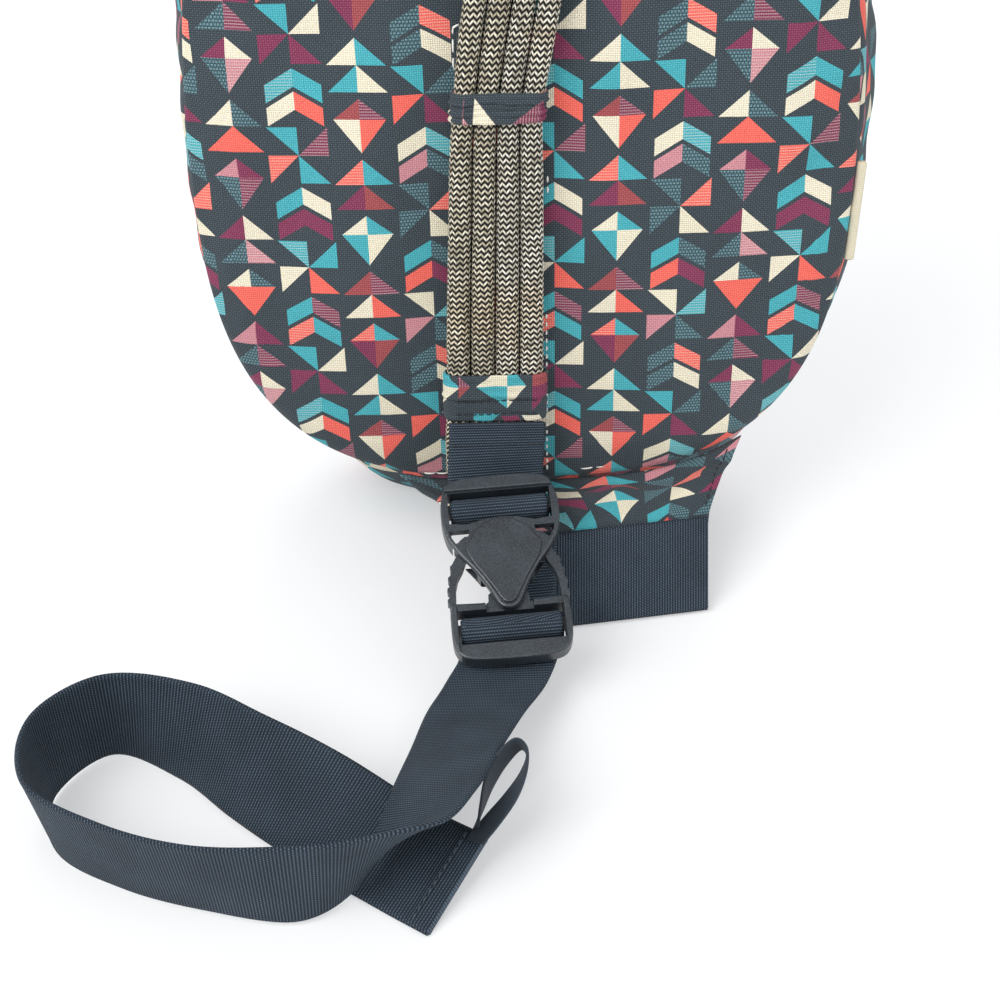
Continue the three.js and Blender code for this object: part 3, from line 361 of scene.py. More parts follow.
def blown(piece, start, free, cap, slack):
    """The places after some steps of cloth under air pressure."""
    seam = piece.vertex_groups.new(name="seam")
    pinned = np.broadcast_to(free, cap.shape).reshape(-1) < 0.5
    seam.add(np.flatnonzero(pinned).tolist(), 1.0, "REPLACE")
    cloth = piece.modifiers.new("air", "CLOTH")
    settings = cloth.settings
    settings.quality = CLOTH_QUALITY
    settings.mass = CLOTH_MASS
    settings.bending_stiffness = CLOTH_STIFFNESS
    settings.use_pressure = True
    settings.uniform_pressure_force = AIR_PRESSURE
    settings.shrink_min = -slack
    settings.vertex_group_mass = "seam"
    settings.effector_weights.gravity = 0
    for step in range(1, AIR_STEPS + 1):
        scene.frame_set(step)
    moved = np.empty(start.size, np.float32)
    result = piece.evaluated_get(bpy.context.evaluated_depsgraph_get())
    result.data.vertices.foreach_get("co", moved)
    piece.modifiers.remove(cloth)
    piece.vertex_groups.clear()
    scene.frame_set(1)
    shift = moved.reshape(-1, 3) - start
    far = np.linalg.norm(shift, axis=1, keepdims=True) / MM
    shift = shift * np.minimum(1, cap.reshape(-1, 1) / np.maximum(far, 1e-6))
    bulge = float(np.linalg.norm(shift, axis=1).max()) / MM
    print(piece.name, "bulged by up to", round(bulge, 1), "mm")
    return start + shift


def inflate(piece, free, cap, slack=0.02):
    """Air and a smooth surface. free is 0 at a seam and 1 where the cloth may
    move, and cap is the longest way of each point, in millimetres."""
    start = np.empty(len(piece.data.vertices) * 3, np.float32)
    piece.data.vertices.foreach_get("co", start)
    start = start.reshape(-1, 3)
    start = blown(piece, start, free, cap, slack)
    start[:, 2] = np.maximum(start[:, 2], 0.0)
    piece.data.vertices.foreach_set("co", start.astype(np.float32).ravel())
    piece.data.update()
    smooth = piece.modifiers.new("smooth", "SUBSURF")
    smooth.levels = smooth.render_levels = 1
    smooth.uv_smooth = "NONE"


print("steps of air:", AIR_STEPS)

# %% [markdown]
# ## Finishes as arithmetic
#
# A printed cloth, a braid and a ribbed webbing are all repeats, so they can be
# written as arithmetic on the map of a piece. A small class turns sums, products
# and comparisons into Math nodes, which keeps the formulas readable.

# %% Node arithmetic
class Field:
    """A number that varies over a surface. Each operation adds one Math node."""

    def __init__(self, tree, socket):
        self.tree = tree
        self.socket = socket

    def math(self, operation, *others):
        """One Math node, with this number as its first value."""
        node = self.tree.nodes.new("ShaderNodeMath")
        node.operation = operation
        self.tree.links.new(self.socket, node.inputs[0])
        for i, other in enumerate(others):
            if isinstance(other, Field):
                self.tree.links.new(other.socket, node.inputs[i + 1])
            else:
                node.inputs[i + 1].default_value = other
        return Field(self.tree, node.outputs[0])

    def __add__(self, other):
        return self.math("ADD", other)

    def __sub__(self, other):
        return self.math("SUBTRACT", other)

    def __mul__(self, other):
        return self.math("MULTIPLY", other)

    def __truediv__(self, other):
        return self.math("DIVIDE", other)

    def __lt__(self, other):
        return self.math("LESS_THAN", other)

    def __gt__(self, other):
        return self.math("GREATER_THAN", other)

    def __abs__(self):
        return self.math("ABSOLUTE")

    def floor(self):
        """The whole number below."""
        return self.math("FLOOR")

    def part(self):
        """What is left above the whole number below."""
        return self.math("FRACT")

    def sine(self):
        """The sine of an angle in radians."""
        return self.math("SINE")

    def wave(self, pitch):
        """A sine wave from 0 to 1 and back over every pitch."""
        return (self * (2 * math.pi / pitch)).sine() * 0.5 + 0.5

    def least(self, other):
        """The smaller of two numbers."""
        return self.math("MINIMUM", other)

    def most(self, other):
        """The greater of two numbers."""
        return self.math("MAXIMUM", other)

    def wrapped(self, count):
        """What is left after dividing by a count: a number that repeats."""
        return self.math("FLOORED_MODULO", count)

    def equals(self, value):
        """1 where a whole number has this value, else 0."""
        return self.math("COMPARE", value, 0.25)

    def flipped(self):
        """1 minus the number."""
        return self * -1 + 1


print("a field can:", ", ".join(word for word in vars(Field) if word[0] != "_"))

# %% [markdown]
# ## A finish
#
# Every material has one Principled shader, a colour built from fields, and fine
# relief. A second small class keeps the node work in one place, so that each
# finish below reads as a short recipe.

# %% Finish
class Finish:
    """A material with one shader, and helpers to lay its colour and its relief."""

    def __init__(self, name, roughness, specular=0.3, sheen=0.0, metallic=0.0):
        self.material = bpy.data.materials.new(name)
        self.material.use_nodes = True
        self.tree = self.material.node_tree
        self.shader = self.tree.nodes["Principled BSDF"]
        self.shader.inputs["Roughness"].default_value = roughness
        self.shader.inputs["Specular IOR Level"].default_value = specular
        self.shader.inputs["Metallic"].default_value = metallic
        if sheen:
            self.shader.inputs["Sheen Weight"].default_value = sheen
            self.shader.inputs["Sheen Roughness"].default_value = 0.5

    def node(self, kind, **values):
        """A new node with some of its settings."""
        node = self.tree.nodes.new(kind)
        for key, value in values.items():
            setattr(node, key, value)
        return node

    def link(self, source, socket):
        """Connects an output to an input."""
        self.tree.links.new(source, socket)

    def chart(self):
        """The two map coordinates of the piece, in millimetres."""
        uv = self.node("ShaderNodeUVMap", uv_map="chart")
        split = self.node("ShaderNodeSeparateXYZ")
        self.link(uv.outputs[0], split.inputs[0])
        return [Field(self.tree, split.outputs[i]) * 1000 for i in (0, 1)]

    def chance(self, *fields):
        """A fixed random number between 0 and 1 for each set of whole numbers."""
        join = self.node("ShaderNodeCombineXYZ")
        for i, value in enumerate(fields):
            self.link((value + 0.5).socket, join.inputs[i])
        noise = self.node("ShaderNodeTexWhiteNoise", noise_dimensions="3D")
        self.link(join.outputs[0], noise.inputs["Vector"])
        return Field(self.tree, noise.outputs["Value"])

    def cloud(self, scale, detail=3.0):
        """Soft noise on Object coordinates, from 0 to 1."""
        place = self.node("ShaderNodeTexCoord").outputs["Object"]
        noise = self.node("ShaderNodeTexNoise")
        noise.inputs["Scale"].default_value = scale
        noise.inputs["Detail"].default_value = detail
        self.link(place, noise.inputs["Vector"])
        return Field(self.tree, noise.outputs["Fac"])

    def palette(self, pick, colours, steps=False):
        """The colour of a list that a number from 0 to 1 picks, in a smooth
        passage or in steps."""
        ramp = self.node("ShaderNodeValToRGB")
        ramp.color_ramp.interpolation = "CONSTANT" if steps else "LINEAR"
        stops = ramp.color_ramp.elements
        while len(stops) < len(colours):
            stops.new(0.5)
        span = len(colours) if steps else len(colours) - 1
        for i, colour in enumerate(colours):
            stops[i].position = i / span
            stops[i].color = (*colour, 1)
        self.link(pick.socket, ramp.inputs[0])
        return ramp.outputs[0]

    def mix(self, share, low, high, blend="MIX"):
        """One colour laid over another by a share from 0 to 1."""
        node = self.node("ShaderNodeMix", data_type="RGBA", blend_type=blend)
        for place, value in ((0, share), (6, low), (7, high)):
            if isinstance(value, Field):
                self.link(value.socket, node.inputs[place])
            elif isinstance(value, (int, float)):
                node.inputs[place].default_value = value
            elif isinstance(value, tuple):
                node.inputs[place].default_value = (*value, 1)
            else:
                self.link(value, node.inputs[place])
        return node.outputs[2]

    def shade(self, colour, factor):
        """A colour times a number that varies over the surface."""
        grey = self.node("ShaderNodeCombineColor")
        for i in range(3):
            self.link(factor.socket, grey.inputs[i])
        return self.mix(1.0, colour, grey.outputs[0], "MULTIPLY")

    def finish(self, colour, relief=None, depth=0.0005, strength=0.6):
        """Connects the colour, and a height between 0 and 1 as fine relief."""
        self.link(colour, self.shader.inputs["Base Color"])
        if relief is not None:
            bump = self.node("ShaderNodeBump")
            bump.inputs["Strength"].default_value = strength
            bump.inputs["Distance"].default_value = depth
            self.link(relief.socket, bump.inputs["Height"])
            self.link(bump.outputs[0], self.shader.inputs["Normal"])
        return self.material


print("a finish can:", ", ".join(word for word in vars(Finish) if word[0] != "_"))

# %% [markdown]
# ## Printed canvas
#
# The cloth is a coarse canvas with a geometric print on charcoal. An image could
# carry the print, but arithmetic stays sharp at any size. The print is a
# patchwork of common quilt shapes: pinwheels, pairs of stacked triangles,
# chevrons and kites, set in columns that drop by half a step. A cell number picks
# the shape, and a fixed chance picks each facet's colour, so the print repeats
# every few cells as a real one does. Some facets carry fine lines or dots. Over
# it all runs the canvas weave, as relief and as light and dark.

# %% Quilt shapes
CELL_WIDTH, CELL_HEIGHT, DROP = 23.0, 21.5, 0.5
PINWHEEL_REACH = 0.96
GOOSE_REACH, GOOSE_WIDTH = 0.88, 0.92
CHEVRON_SLOPE, CHEVRON_DROP, CHEVRON_REACH = 0.62, 0.22, 0.88
CHEVRON_PLACE, CHEVRON_HALF = 0.38, 0.3
KITE_WAIST, KITE_TIP, KITE_WIDTH = 0.22, 0.9, 0.82


def quilt_shapes(p, q):
    """The four shapes in a cell from -1 to 1 both ways. For each a mask, and a
    number for the facet: twice its storey, plus one on the right side."""
    far_p, far_q, right = abs(p), abs(q), p > 0

    same = (p * q) > 0
    blade = same * (far_q < far_p) + same.flipped() * (far_p < far_q)
    pinwheel = blade * (far_p.most(far_q) < PINWHEEL_REACH)

    climb = (q + GOOSE_REACH) / GOOSE_REACH
    goose = climb.floor()
    narrow = (climb - goose).flipped() * GOOSE_WIDTH
    geese = (far_p < narrow) * (far_q < GOOSE_REACH)

    slant = q + far_p * CHEVRON_SLOPE - CHEVRON_DROP
    stripe = abs(abs(slant) - CHEVRON_PLACE) < CHEVRON_HALF
    chevron = stripe * (far_p < CHEVRON_REACH)

    top = (q * -1 + KITE_TIP) / (KITE_TIP - KITE_WAIST)
    foot = (q + KITE_TIP) / (KITE_TIP + KITE_WAIST)
    kite = far_p < top.least(foot) * KITE_WIDTH
    return (
        (pinwheel, (q > 0) * 2 + right),
        (geese, goose * 2 + right),
        (chevron, (slant > 0) * 2 + right),
        (kite, (q > KITE_WAIST) * 2 + right),
    )


print("a cell of the print:", CELL_WIDTH, "x", CELL_HEIGHT, "mm")

# %% [markdown]
# ## Inks and weave
#
# The inks are a few flat colours. The canvas is coarse enough to see, so the
# threads that lie on top catch a little more light than those that dip under;
# that light and shade is painted into the colour, besides the relief.

# %% Canvas finish
CHARCOAL, SLATE = (0.029, 0.042, 0.051), (0.030, 0.065, 0.080)
CREAM, TEAL = (0.76, 0.69, 0.52), (0.050, 0.37, 0.42)
CORAL, BURGUNDY = (0.84, 0.125, 0.09), (0.205, 0.023, 0.072)
ROSE, BRICK = (0.56, 0.23, 0.26), (0.33, 0.058, 0.062)
LINE_INK, DOT_INK = (0.84, 0.74, 0.64), (0.16, 0.30, 0.33)
# A pale grey that is painted on the tops of the threads as a highlight.
THREAD_TOP_HIGHLIGHT = (0.42, 0.47, 0.50)
FACETS = [
    CREAM, BURGUNDY, TEAL, CORAL, CREAM, BURGUNDY, ROSE, CREAM, TEAL, BURGUNDY, BRICK,
    CORAL,
]
LINE_PITCH, DOT_PITCH, WEAVE = 1.05, 1.25, 0.78
LINED, DOTTED, DOT_SIZE = 0.3, 0.93, 0.12
OFF_SEAM = 3000


def quilt_canvas(name, quarter_turn=False):
    """Canvas with the quilt print, or with the print turned by 90 degrees."""
    f = Finish(name, roughness=0.86, specular=0.22, sheen=0.06)
    u, v = f.chart()
    if quarter_turn:
        u, v = v + OFF_SEAM, u
    across = u / CELL_WIDTH
    column = across.floor()
    upward = v / CELL_HEIGHT + column.wrapped(2) * DROP
    row = upward.floor()
    column_key, row_key = column.wrapped(4), row.wrapped(3)
    kind = (column_key + row.wrapped(4) * 2).wrapped(4)
    shapes = quilt_shapes((across - column) * 2 - 1, (upward - row) * 2 - 1)
    printed = facet = None
    for i, (mask, number) in enumerate(shapes):
        here = kind.equals(i) * mask
        printed = here if printed is None else printed + here
        facet = here * number if facet is None else facet + here * number

    ink = f.palette(f.chance(column_key, row_key, facet), FACETS, steps=True)
    touch = f.chance(column_key + 11, row_key, facet)
    lines = ((v / LINE_PITCH).part() < 0.4) * (touch < LINED)
    dot_row = (v / DOT_PITCH).floor()
    dot_u = ((u + dot_row.wrapped(2) * (DOT_PITCH / 2)) / DOT_PITCH).part() - 0.5
    dot_v = (v / DOT_PITCH).part() - 0.5
    dots = (dot_u * dot_u + dot_v * dot_v) < DOT_SIZE
    ink = f.mix(lines * 0.26, ink, LINE_INK)
    ink = f.mix(touch > DOTTED, ink, f.mix(dots * 0.7, SLATE, DOT_INK))
    colour = f.mix(printed, CHARCOAL, ink)

    warp, weft = ((w * (math.pi / WEAVE)).sine() for w in (u, v))
    height = abs(warp * weft) * (((warp * weft) > 0) * 0.4 + 0.6)
    wear = f.cloud(38.0, 4.0)
    # Painted light of the weave: a painted highlight and more brightness on the thread
    # tops, painted shade in the dips, and a soft cloud of uneven tone.
    colour = f.mix(height * 0.11, colour, THREAD_TOP_HIGHLIGHT)
    colour = f.shade(colour, height * 0.6 + wear * 0.22 + 0.68)
    return f.finish(colour, height, depth=0.0004, strength=0.7)


canvas = quilt_canvas("printed_canvas")
canvas_turned = quilt_canvas("printed_canvas_turned", quarter_turn=True)
print("canvas nodes:", len(canvas.node_tree.nodes))

# %% [markdown]
# ## The braid of the ropes
#
# The ropes are braided from straw and black yarn, which shows as rows of fine
# zigzags. A row number plus a triangle wave gives them. A real braid turns a
# little on its way, so the zigzags wander, and some patches are browner.

# %% Braid finish
ZIGZAGS, ZIGZAG_RISE, BRAID_ROW, LIGHT_YARN = 10, 1.35, 2.22, 0.52
TWIST, TWIST_LONG, TWIST_SHORT = 0.035, 15.0, 5.7
LONG_SHIFT, SHORT_SHIFT = 2.1, 4.7
STRAW = [(0.19, 0.16, 0.105), (0.53, 0.475, 0.35), (0.93, 0.88, 0.73)]
PALE = [(0.24, 0.215, 0.17), (0.62, 0.58, 0.48), (0.96, 0.94, 0.87)]
TAN = [(0.20, 0.14, 0.07), (0.60, 0.47, 0.30), (1.0, 0.90, 0.68)]
BLACK_YARN = (0.012, 0.011, 0.010)


def braid_wander(up, number, sine):
    """How far the zigzags turn round a rope, in turns: a long wave along it and
    half as much of a short one. It serves the finish and the mesh alike."""
    long = sine(up / TWIST_LONG + number * LONG_SHIFT)
    short = sine(up / TWIST_SHORT + number * SHORT_SHIFT)
    return long * TWIST + short * TWIST / 2


def braid_finish():
    """Zigzag rows: a row number plus a triangle wave round the rope. The whole
    part of the map's first number is ten times the rope's own number, and tints
    it; its yarns vary from cream to tan."""
    f = Finish("braided_rope", roughness=0.9, specular=0.2, sheen=0.08)
    u, v = f.chart()
    number = (u / 10000 + 0.02).floor()
    turns = (u / 1000 + braid_wander(v, number, Field.sine)) * ZIGZAGS
    zig = abs(turns.part() * 2 - 1)
    climb = (v + zig * ZIGZAG_RISE) / BRAID_ROW
    yarn = climb.part()
    light = yarn < LIGHT_YARN
    tone = f.chance(climb.floor(), (turns * 2).floor(), number)
    pick = tone * 0.6 + f.cloud(70.0) * 0.6 - 0.1
    straw = f.mix((number > 1.5) * 0.75, f.palette(pick, STRAW), f.palette(pick, PALE))
    patch = ((f.cloud(34.0, 2.0) - 0.5) * 6).least(1.0).most(0.0)
    straw = f.mix(patch * 0.6, straw, f.palette(pick, TAN))
    # Painted shade: each light yarn darkens towards its edges and each leg of a zigzag
    # towards its ends, as a round yarn turns from the light. The same number raises the
    # yarn as relief.
    leg_shade = ((turns * 2).part() * math.pi).sine() * 0.5 + 0.64
    yarn_shade_and_crest = ((yarn * (math.pi / LIGHT_YARN)).sine() * 0.95 + 0.27) * leg_shade
    colour = f.mix(light, BLACK_YARN, f.shade(straw, yarn_shade_and_crest))
    return f.finish(colour, yarn_shade_and_crest * light, depth=0.0005, strength=0.6)


braid = braid_finish()
print("braid rows:", BRAID_ROW, "mm apart,", ZIGZAGS, "zigzags round a rope")

# %% [markdown]
# ## Webbing and plastic
#
# The webbing is near black with a rib across it at every pick, and each rib is
# broken by the yarns that run along. The buckle is moulded with the fine grain of
# an etched mould, which scatters its shine.

# %% Webbing and plastic
WEBBING_PICK, WARP_PITCH = 1.08, 1.04
# Webbing colours from painted shade in the rib grooves to a painted highlight on the
# rib crests.
WEBBING_SHADE_TO_HIGHLIGHT = [(0.004, 0.006, 0.010), (0.023, 0.035, 0.050), (0.120, 0.166, 0.220)]
PLASTIC_TONES = [(0.004, 0.0055, 0.0075), (0.046, 0.058, 0.071)]


def webbing_finish():
    """Ribs across the strap at every pick, times yarns along it that shift by
    half a yarn from rib to rib."""
    f = Finish("ribbed_webbing", roughness=0.78, specular=0.24, sheen=0.02)
    u, v = f.chart()
    yarn = (u + (v / WEBBING_PICK).floor() * (WARP_PITCH / 2)).wave(WARP_PITCH)
    height = v.wave(WEBBING_PICK) * (yarn * 0.45 + 0.55)
    # The colour follows the rib height: painted shade in the grooves, a painted
    # highlight on the crests, and a soft uneven tone.
    colour = f.palette(height * 0.75 + f.cloud(55.0) * 0.25, WEBBING_SHADE_TO_HIGHLIGHT)
    return f.finish(colour, height, depth=0.0005, strength=0.75)


def plastic_finish():
    """Black plastic with fine grain over broad, faint clouds."""
    f = Finish("moulded_plastic", roughness=0.35, specular=0.5)
    grain = f.cloud(1500.0, 2.0)
    mottle = f.cloud(70.0, 2.0) * 0.3 + grain * 0.7
    colour = f.palette((mottle - 0.5) * 2.2 + 0.5, PLASTIC_TONES)
    return f.finish(colour, grain, depth=0.0002, strength=0.7)


webbing = webbing_finish()
plastic = plastic_finish()
print("webbing ribs:", WEBBING_PICK, "mm apart")

# %% [markdown]
# ## Tapes, threads and metal
#
# The narrow tapes have a plain weave. Threads, cords, nylon and metal are too
# small for a pattern, so a faint mottle is enough to keep them from looking
# painted.

# %% Small finishes
def plain_weave(name, low, high, pitch, roughness=0.85):
    """A plain weave on the map: the product of two sines, without its sign."""
    f = Finish(name, roughness=roughness, specular=0.25, sheen=0.05)
    warp, weft = ((w * (math.pi / pitch)).sine() for w in f.chart())
    height = abs(warp * weft)
    # The colour follows the weave height: painted shade in the dips and painted light
    # on the crests, with a faint uneven mottle.
    colour = f.palette(height * 0.7 + f.cloud(90.0) * 0.3, [low, high])
    return f.finish(colour, height, depth=0.0003, strength=0.5)


def mottled(name, low, high, roughness, scale, metallic=0.0):
    """A finish with a fine mottle on Object coordinates, between two colours."""
    f = Finish(name, roughness=roughness, specular=0.35, metallic=metallic)
    mottle = f.cloud(scale)
    return f.finish(f.palette(mottle, [low, high]), mottle, depth=0.00008, strength=0.3)


cream_tape = plain_weave("cream_tape", (0.50, 0.44, 0.31), (0.80, 0.74, 0.58), 0.7)
loop_tape = plain_weave(
    "loop_tape", (0.010, 0.014, 0.020), (0.052, 0.070, 0.092), 0.55, roughness=0.6
)
zip_cloth = plain_weave("zip_cloth", (0.008, 0.008, 0.010), (0.030, 0.031, 0.036), 0.6)
white_thread, hem_thread, dark_thread = (
    mottled(name, low, high, 0.8, 900.0)
    for name, low, high in (
        ("white_thread", (0.70, 0.68, 0.63), (0.90, 0.88, 0.84)),
        ("hem_thread", (0.03, 0.04, 0.05), (0.09, 0.11, 0.13)),
        ("dark_thread", (0.010, 0.010, 0.012), (0.030, 0.030, 0.034)),
    )
)
plated_metal = mottled(
    "plated_metal", (0.34, 0.34, 0.35), (0.52, 0.52, 0.53), 0.32, 220.0, metallic=1.0
)
cord_finish = mottled(
    "pull_cord", (0.012, 0.012, 0.014), (0.045, 0.045, 0.05), 0.75, 1200.0
)
nylon_coil = mottled(
    "nylon_coil", (0.014, 0.014, 0.016), (0.035, 0.035, 0.038), 0.45, 500.0
)
print("finishes:", len(bpy.data.materials))

# %% [markdown]
# ## The floor's finish
#
# The floor is bright, with soft, pale shadows. To the camera, part
# of the floor is plain white light, and the rest is a pale surface that takes the
# shadows.

# %% Floor finish
FLOOR_GLOW = 0.4
FLOOR_TONES = [(0.88, 0.885, 0.89), (0.92, 0.922, 0.925)]


def floor_finish():
    """A pale surface, mixed with white light by a share for straight rays."""
    f = Finish("pale_floor", roughness=0.6, specular=0.2)
    f.finish(f.palette(f.cloud(3.0, 2.0), FLOOR_TONES))
    white = f.node("ShaderNodeEmission")
    white.inputs["Color"].default_value = SEEN_WHITE
    glow = Field(f.tree, straight_rays(f.tree)) * FLOOR_GLOW
    mix_shaders(f.tree, glow.socket, f.shader, white, "Material Output")
    return f.material


floor.data.materials.append(floor_finish())
print("finishes:", len(bpy.data.materials))

# %% [markdown]
# ## The outline that all the cloth shares
#
# The padded panel, the side wall and the zip side are cut to one teardrop
# outline. It has a full, round bottom and tapers to a rounded top, so one
# function of the height gives half its width. Points spaced evenly along that
# outline, with the direction that faces out at each, carry every cloth piece.

# %% Outline
BAG_HEIGHT, PANEL_HALF_WIDTH, WIDEST_AT, TOP_HALF_WIDTH = 480.0, 123.0, 135.0, 42.0
BOTTOM_ROUNDNESS, TAPER_POWER = 2.9, 1.6
TOP_ROUNDNESS, TOP_FALL = 14, 0.45
OUTLINE_SAMPLES, AROUND = 3000, 160


def half_width(height):
    """Below the widest place a superellipse; above it a taper that ends in a
    rounded top."""
    low = np.clip((WIDEST_AT - height) / WIDEST_AT, 0, 1)
    round_bottom = (1 - low ** BOTTOM_ROUNDNESS) ** (1 / BOTTOM_ROUNDNESS)
    high = np.clip((height - WIDEST_AT) / (BAG_HEIGHT - WIDEST_AT), 0, 1)
    taper = 1 - (1 - TOP_HALF_WIDTH / PANEL_HALF_WIDTH) * high ** TAPER_POWER
    taper = taper * np.maximum(0, 1 - high ** TOP_ROUNDNESS) ** TOP_FALL
    return PANEL_HALF_WIDTH * np.where(height < WIDEST_AT, round_bottom, taper)


def lower_edge(x):
    """The height of the panel's lower edge at a distance from the middle line:
    the superellipse, solved for the height."""
    u = np.clip(np.abs(x) / PANEL_HALF_WIDTH, 0, 1)
    return WIDEST_AT * (1 - (1 - u ** BOTTOM_ROUNDNESS) ** (1 / BOTTOM_ROUNDNESS))


def panel_outline(count):
    """Points at equal steps along the outline, from the lowest point up the
    right side, with the unit direction that faces out and the length so far."""
    height = BAG_HEIGHT * (1 - np.cos(np.linspace(0, np.pi, OUTLINE_SAMPLES))) / 2
    wide = half_width(height)
    x = np.concatenate([wide, -wide[-2::-1]])
    z = np.concatenate([height, height[-2::-1]])
    length = np.concatenate([[0], np.cumsum(np.hypot(np.diff(x), np.diff(z)))])
    along = np.linspace(0, length[-1], count + 1)[:-1]
    px, pz = np.interp(along, length, x), np.interp(along, length, z)
    dx, dz = (np.roll(p, -1) - np.roll(p, 1) for p in (px, pz))
    size = np.hypot(dx, dz)
    return px, pz, dz / size, -dx / size, along, length[-1]


edge_x, edge_z, out_x, out_z, edge_run, edge_length = panel_outline(AROUND)
print("outline length:", round(edge_length), "mm")

# %% [markdown]
# ## How the bag stands
#
# The filled bag leans back a little, and less to one side. All its cloth
# is worked out upright, in the bag's own millimetres, and one function leans it.
# The ropes are the exception: they hang plumb over the lower half.

# %% Standing
LEAN, SIDE_LEAN = math.radians(4), math.radians(1.2)
SEAM_HEIGHT, REST_CENTRE = 40.0, 62.0
DEPTH_AT_BOTTOM, DEPTH_AT_TOP = 86.0, 46.0
STRAP_OFFSET, STRAP_BEND, STRAP_PLUMB = -12.4, (140.0, 255.0), (255.0, 420.0)


def from_bag(x, y, z):
    """Bag millimetres to metres in the model's frame: a small lean to one side,
    a lean back, a lift to the seam's height and a shift to the standing patch."""
    x, y, z = np.broadcast_arrays(x, y, z)
    c, s = math.cos(SIDE_LEAN), math.sin(SIDE_LEAN)
    x, z = x * c - z * s, x * s + z * c
    c, s = math.cos(LEAN), math.sin(LEAN)
    y, z = y * c + z * s - REST_CENTRE, z * c - y * s + SEAM_HEIGHT
    return np.stack([x, y, z], -1) * MM


def depth_at(height):
    """How deep the bag is: a straight passage from the bottom to the top."""
    return DEPTH_AT_BOTTOM + (DEPTH_AT_TOP - DEPTH_AT_BOTTOM) * height / BAG_HEIGHT


def strap_x(height):
    """The ropes hang plumb over the lower half and bend over to the middle line
    above the first keeper."""
    plumb = height * math.tan(SIDE_LEAN) * (1 - smoothstep(height, *STRAP_PLUMB))
    return STRAP_OFFSET * (1 - smoothstep(height, *STRAP_BEND)) + plumb


into_air = (from_bag(0, -1, 0) - from_bag(0, 0, 0)) / MM
print("the panel faces", np.round(into_air, 3))

# %% [markdown]
# ## The padded back panel
#
# The large printed face is foam between two cloths, sewn round its edge. It is
# crowned to its middle and rolls over at the seam, where the cloth puckers a
# little between the stitches. Rings of the outline, drawn in to the middle and
# raised by the crown, make the face. Broad soft dents keep it from looking like
# a casting.

# %% Padded panel
PAD_EDGE, PAD_CROWN, PAD_POWER, PANEL_MIDDLE = 5.0, 12.0, 2.5, 190.0
ROLLED_RINGS = np.array([
    (0.02, 0.3), (0.5, 0.3), (0.94, 0.3), (0.988, 0.4), (1.0, 1.5), (1.0, 2.8),
    (0.997, 4.0), (0.991, 4.8),
])
MEAN_REACH, DENT, SEAM_DIP = 130.0, 1.3, 0.5
STILL_CLOTH, FREE_CLOTH, PANEL_SLACK = 0.6, 2.2, 0.012


def pad_height(reach):
    """The crown: the edge's height plus a power curve that is full at the middle."""
    return PAD_EDGE + (PAD_CROWN - PAD_EDGE) * (1 - np.minimum(1, reach) ** PAD_POWER)


def back_panel():
    """Rings of the outline at a reach from the middle. The first rings lie on
    the back and roll round the edge, and the others cover the crowned face."""
    face = np.concatenate([np.linspace(0.982, 0.9, 8), np.linspace(0.875, 0.02, 30)])
    reach = np.concatenate([ROLLED_RINGS[:, 0], face])[:, None]
    height = np.concatenate([ROLLED_RINGS[:, 1], pad_height(face)])[:, None]
    free = (np.arange(len(reach)) >= len(ROLLED_RINGS))[:, None]
    x = edge_x * reach
    z = PANEL_MIDDLE + (edge_z - PANEL_MIDDLE) * reach
    inward = (1 - reach) * MEAN_REACH
    beside_ropes = smoothstep(np.abs(x - strap_x(z)), 20.0, 42.0)
    dents = DENT * ripple(x / 95.0, z / 120.0, 4) * smoothstep(inward, 0, 30)
    height = height + free * (dents * beside_ropes - SEAM_DIP * bell(inward, 4.0, 2.0))
    chart = chart_of(x, z)
    chart = np.concatenate([chart, chart[:, :1]], 1)
    piece = skin("padded_panel", from_bag(x, -height, z), chart)
    inflate(piece, free, STILL_CLOTH + FREE_CLOTH * beside_ropes * free, PANEL_SLACK)
    return piece


padded_panel = dress(back_panel(), canvas, "printed_cloth", "back_panel")

# %% [markdown]
# ## The filled body
#
# Behind the panel one wide strip of canvas makes the side wall and the bottom.
# It bulges over the filling and sags at the bottom, where the floor flattens it.
# The wall is the outline, pushed out by a bulge that depends on how far back the
# point lies, with creases that run from seam to seam.

# %% Filled body
SIDE_BULGE, BOTTOM_BULGE, FRONT_INSET, BOTTOM_DROP = 12.0, 42.0, 6.0, 30.0
FULLEST_AT, SLOW_RISE, LEFT_FOOT_DRAWN = 0.65, 2.3, 7.0
WALL_RINGS, WALL_CAP = 27, 3.5
END_RINGS = np.array([0.02, 0.5, 0.97])[:, None]
FRONT_CHART, WALL_CHART, REAR_CHART = (-40, -20, -2), 80.0, (82, 100, 120)


def wall_offset(share, facing_down):
    """A quarter sine up to the fullest place and a quarter cosine down from it."""
    down = np.maximum(0, facing_down) ** 4
    peak = SIDE_BULGE + (BOTTOM_BULGE - SIDE_BULGE) * down
    end = -FRONT_INSET + (BOTTOM_DROP + FRONT_INSET) * down
    before = np.clip(share / FULLEST_AT, 0, 1)
    after = np.clip((share - FULLEST_AT) / (1 - FULLEST_AT), 0, 1)
    rise = peak * np.sin(np.pi / 2 * before) ** SLOW_RISE
    fall = end + (peak - end) * np.cos(np.pi / 2 * after)
    return np.where(share < FULLEST_AT, rise, fall)


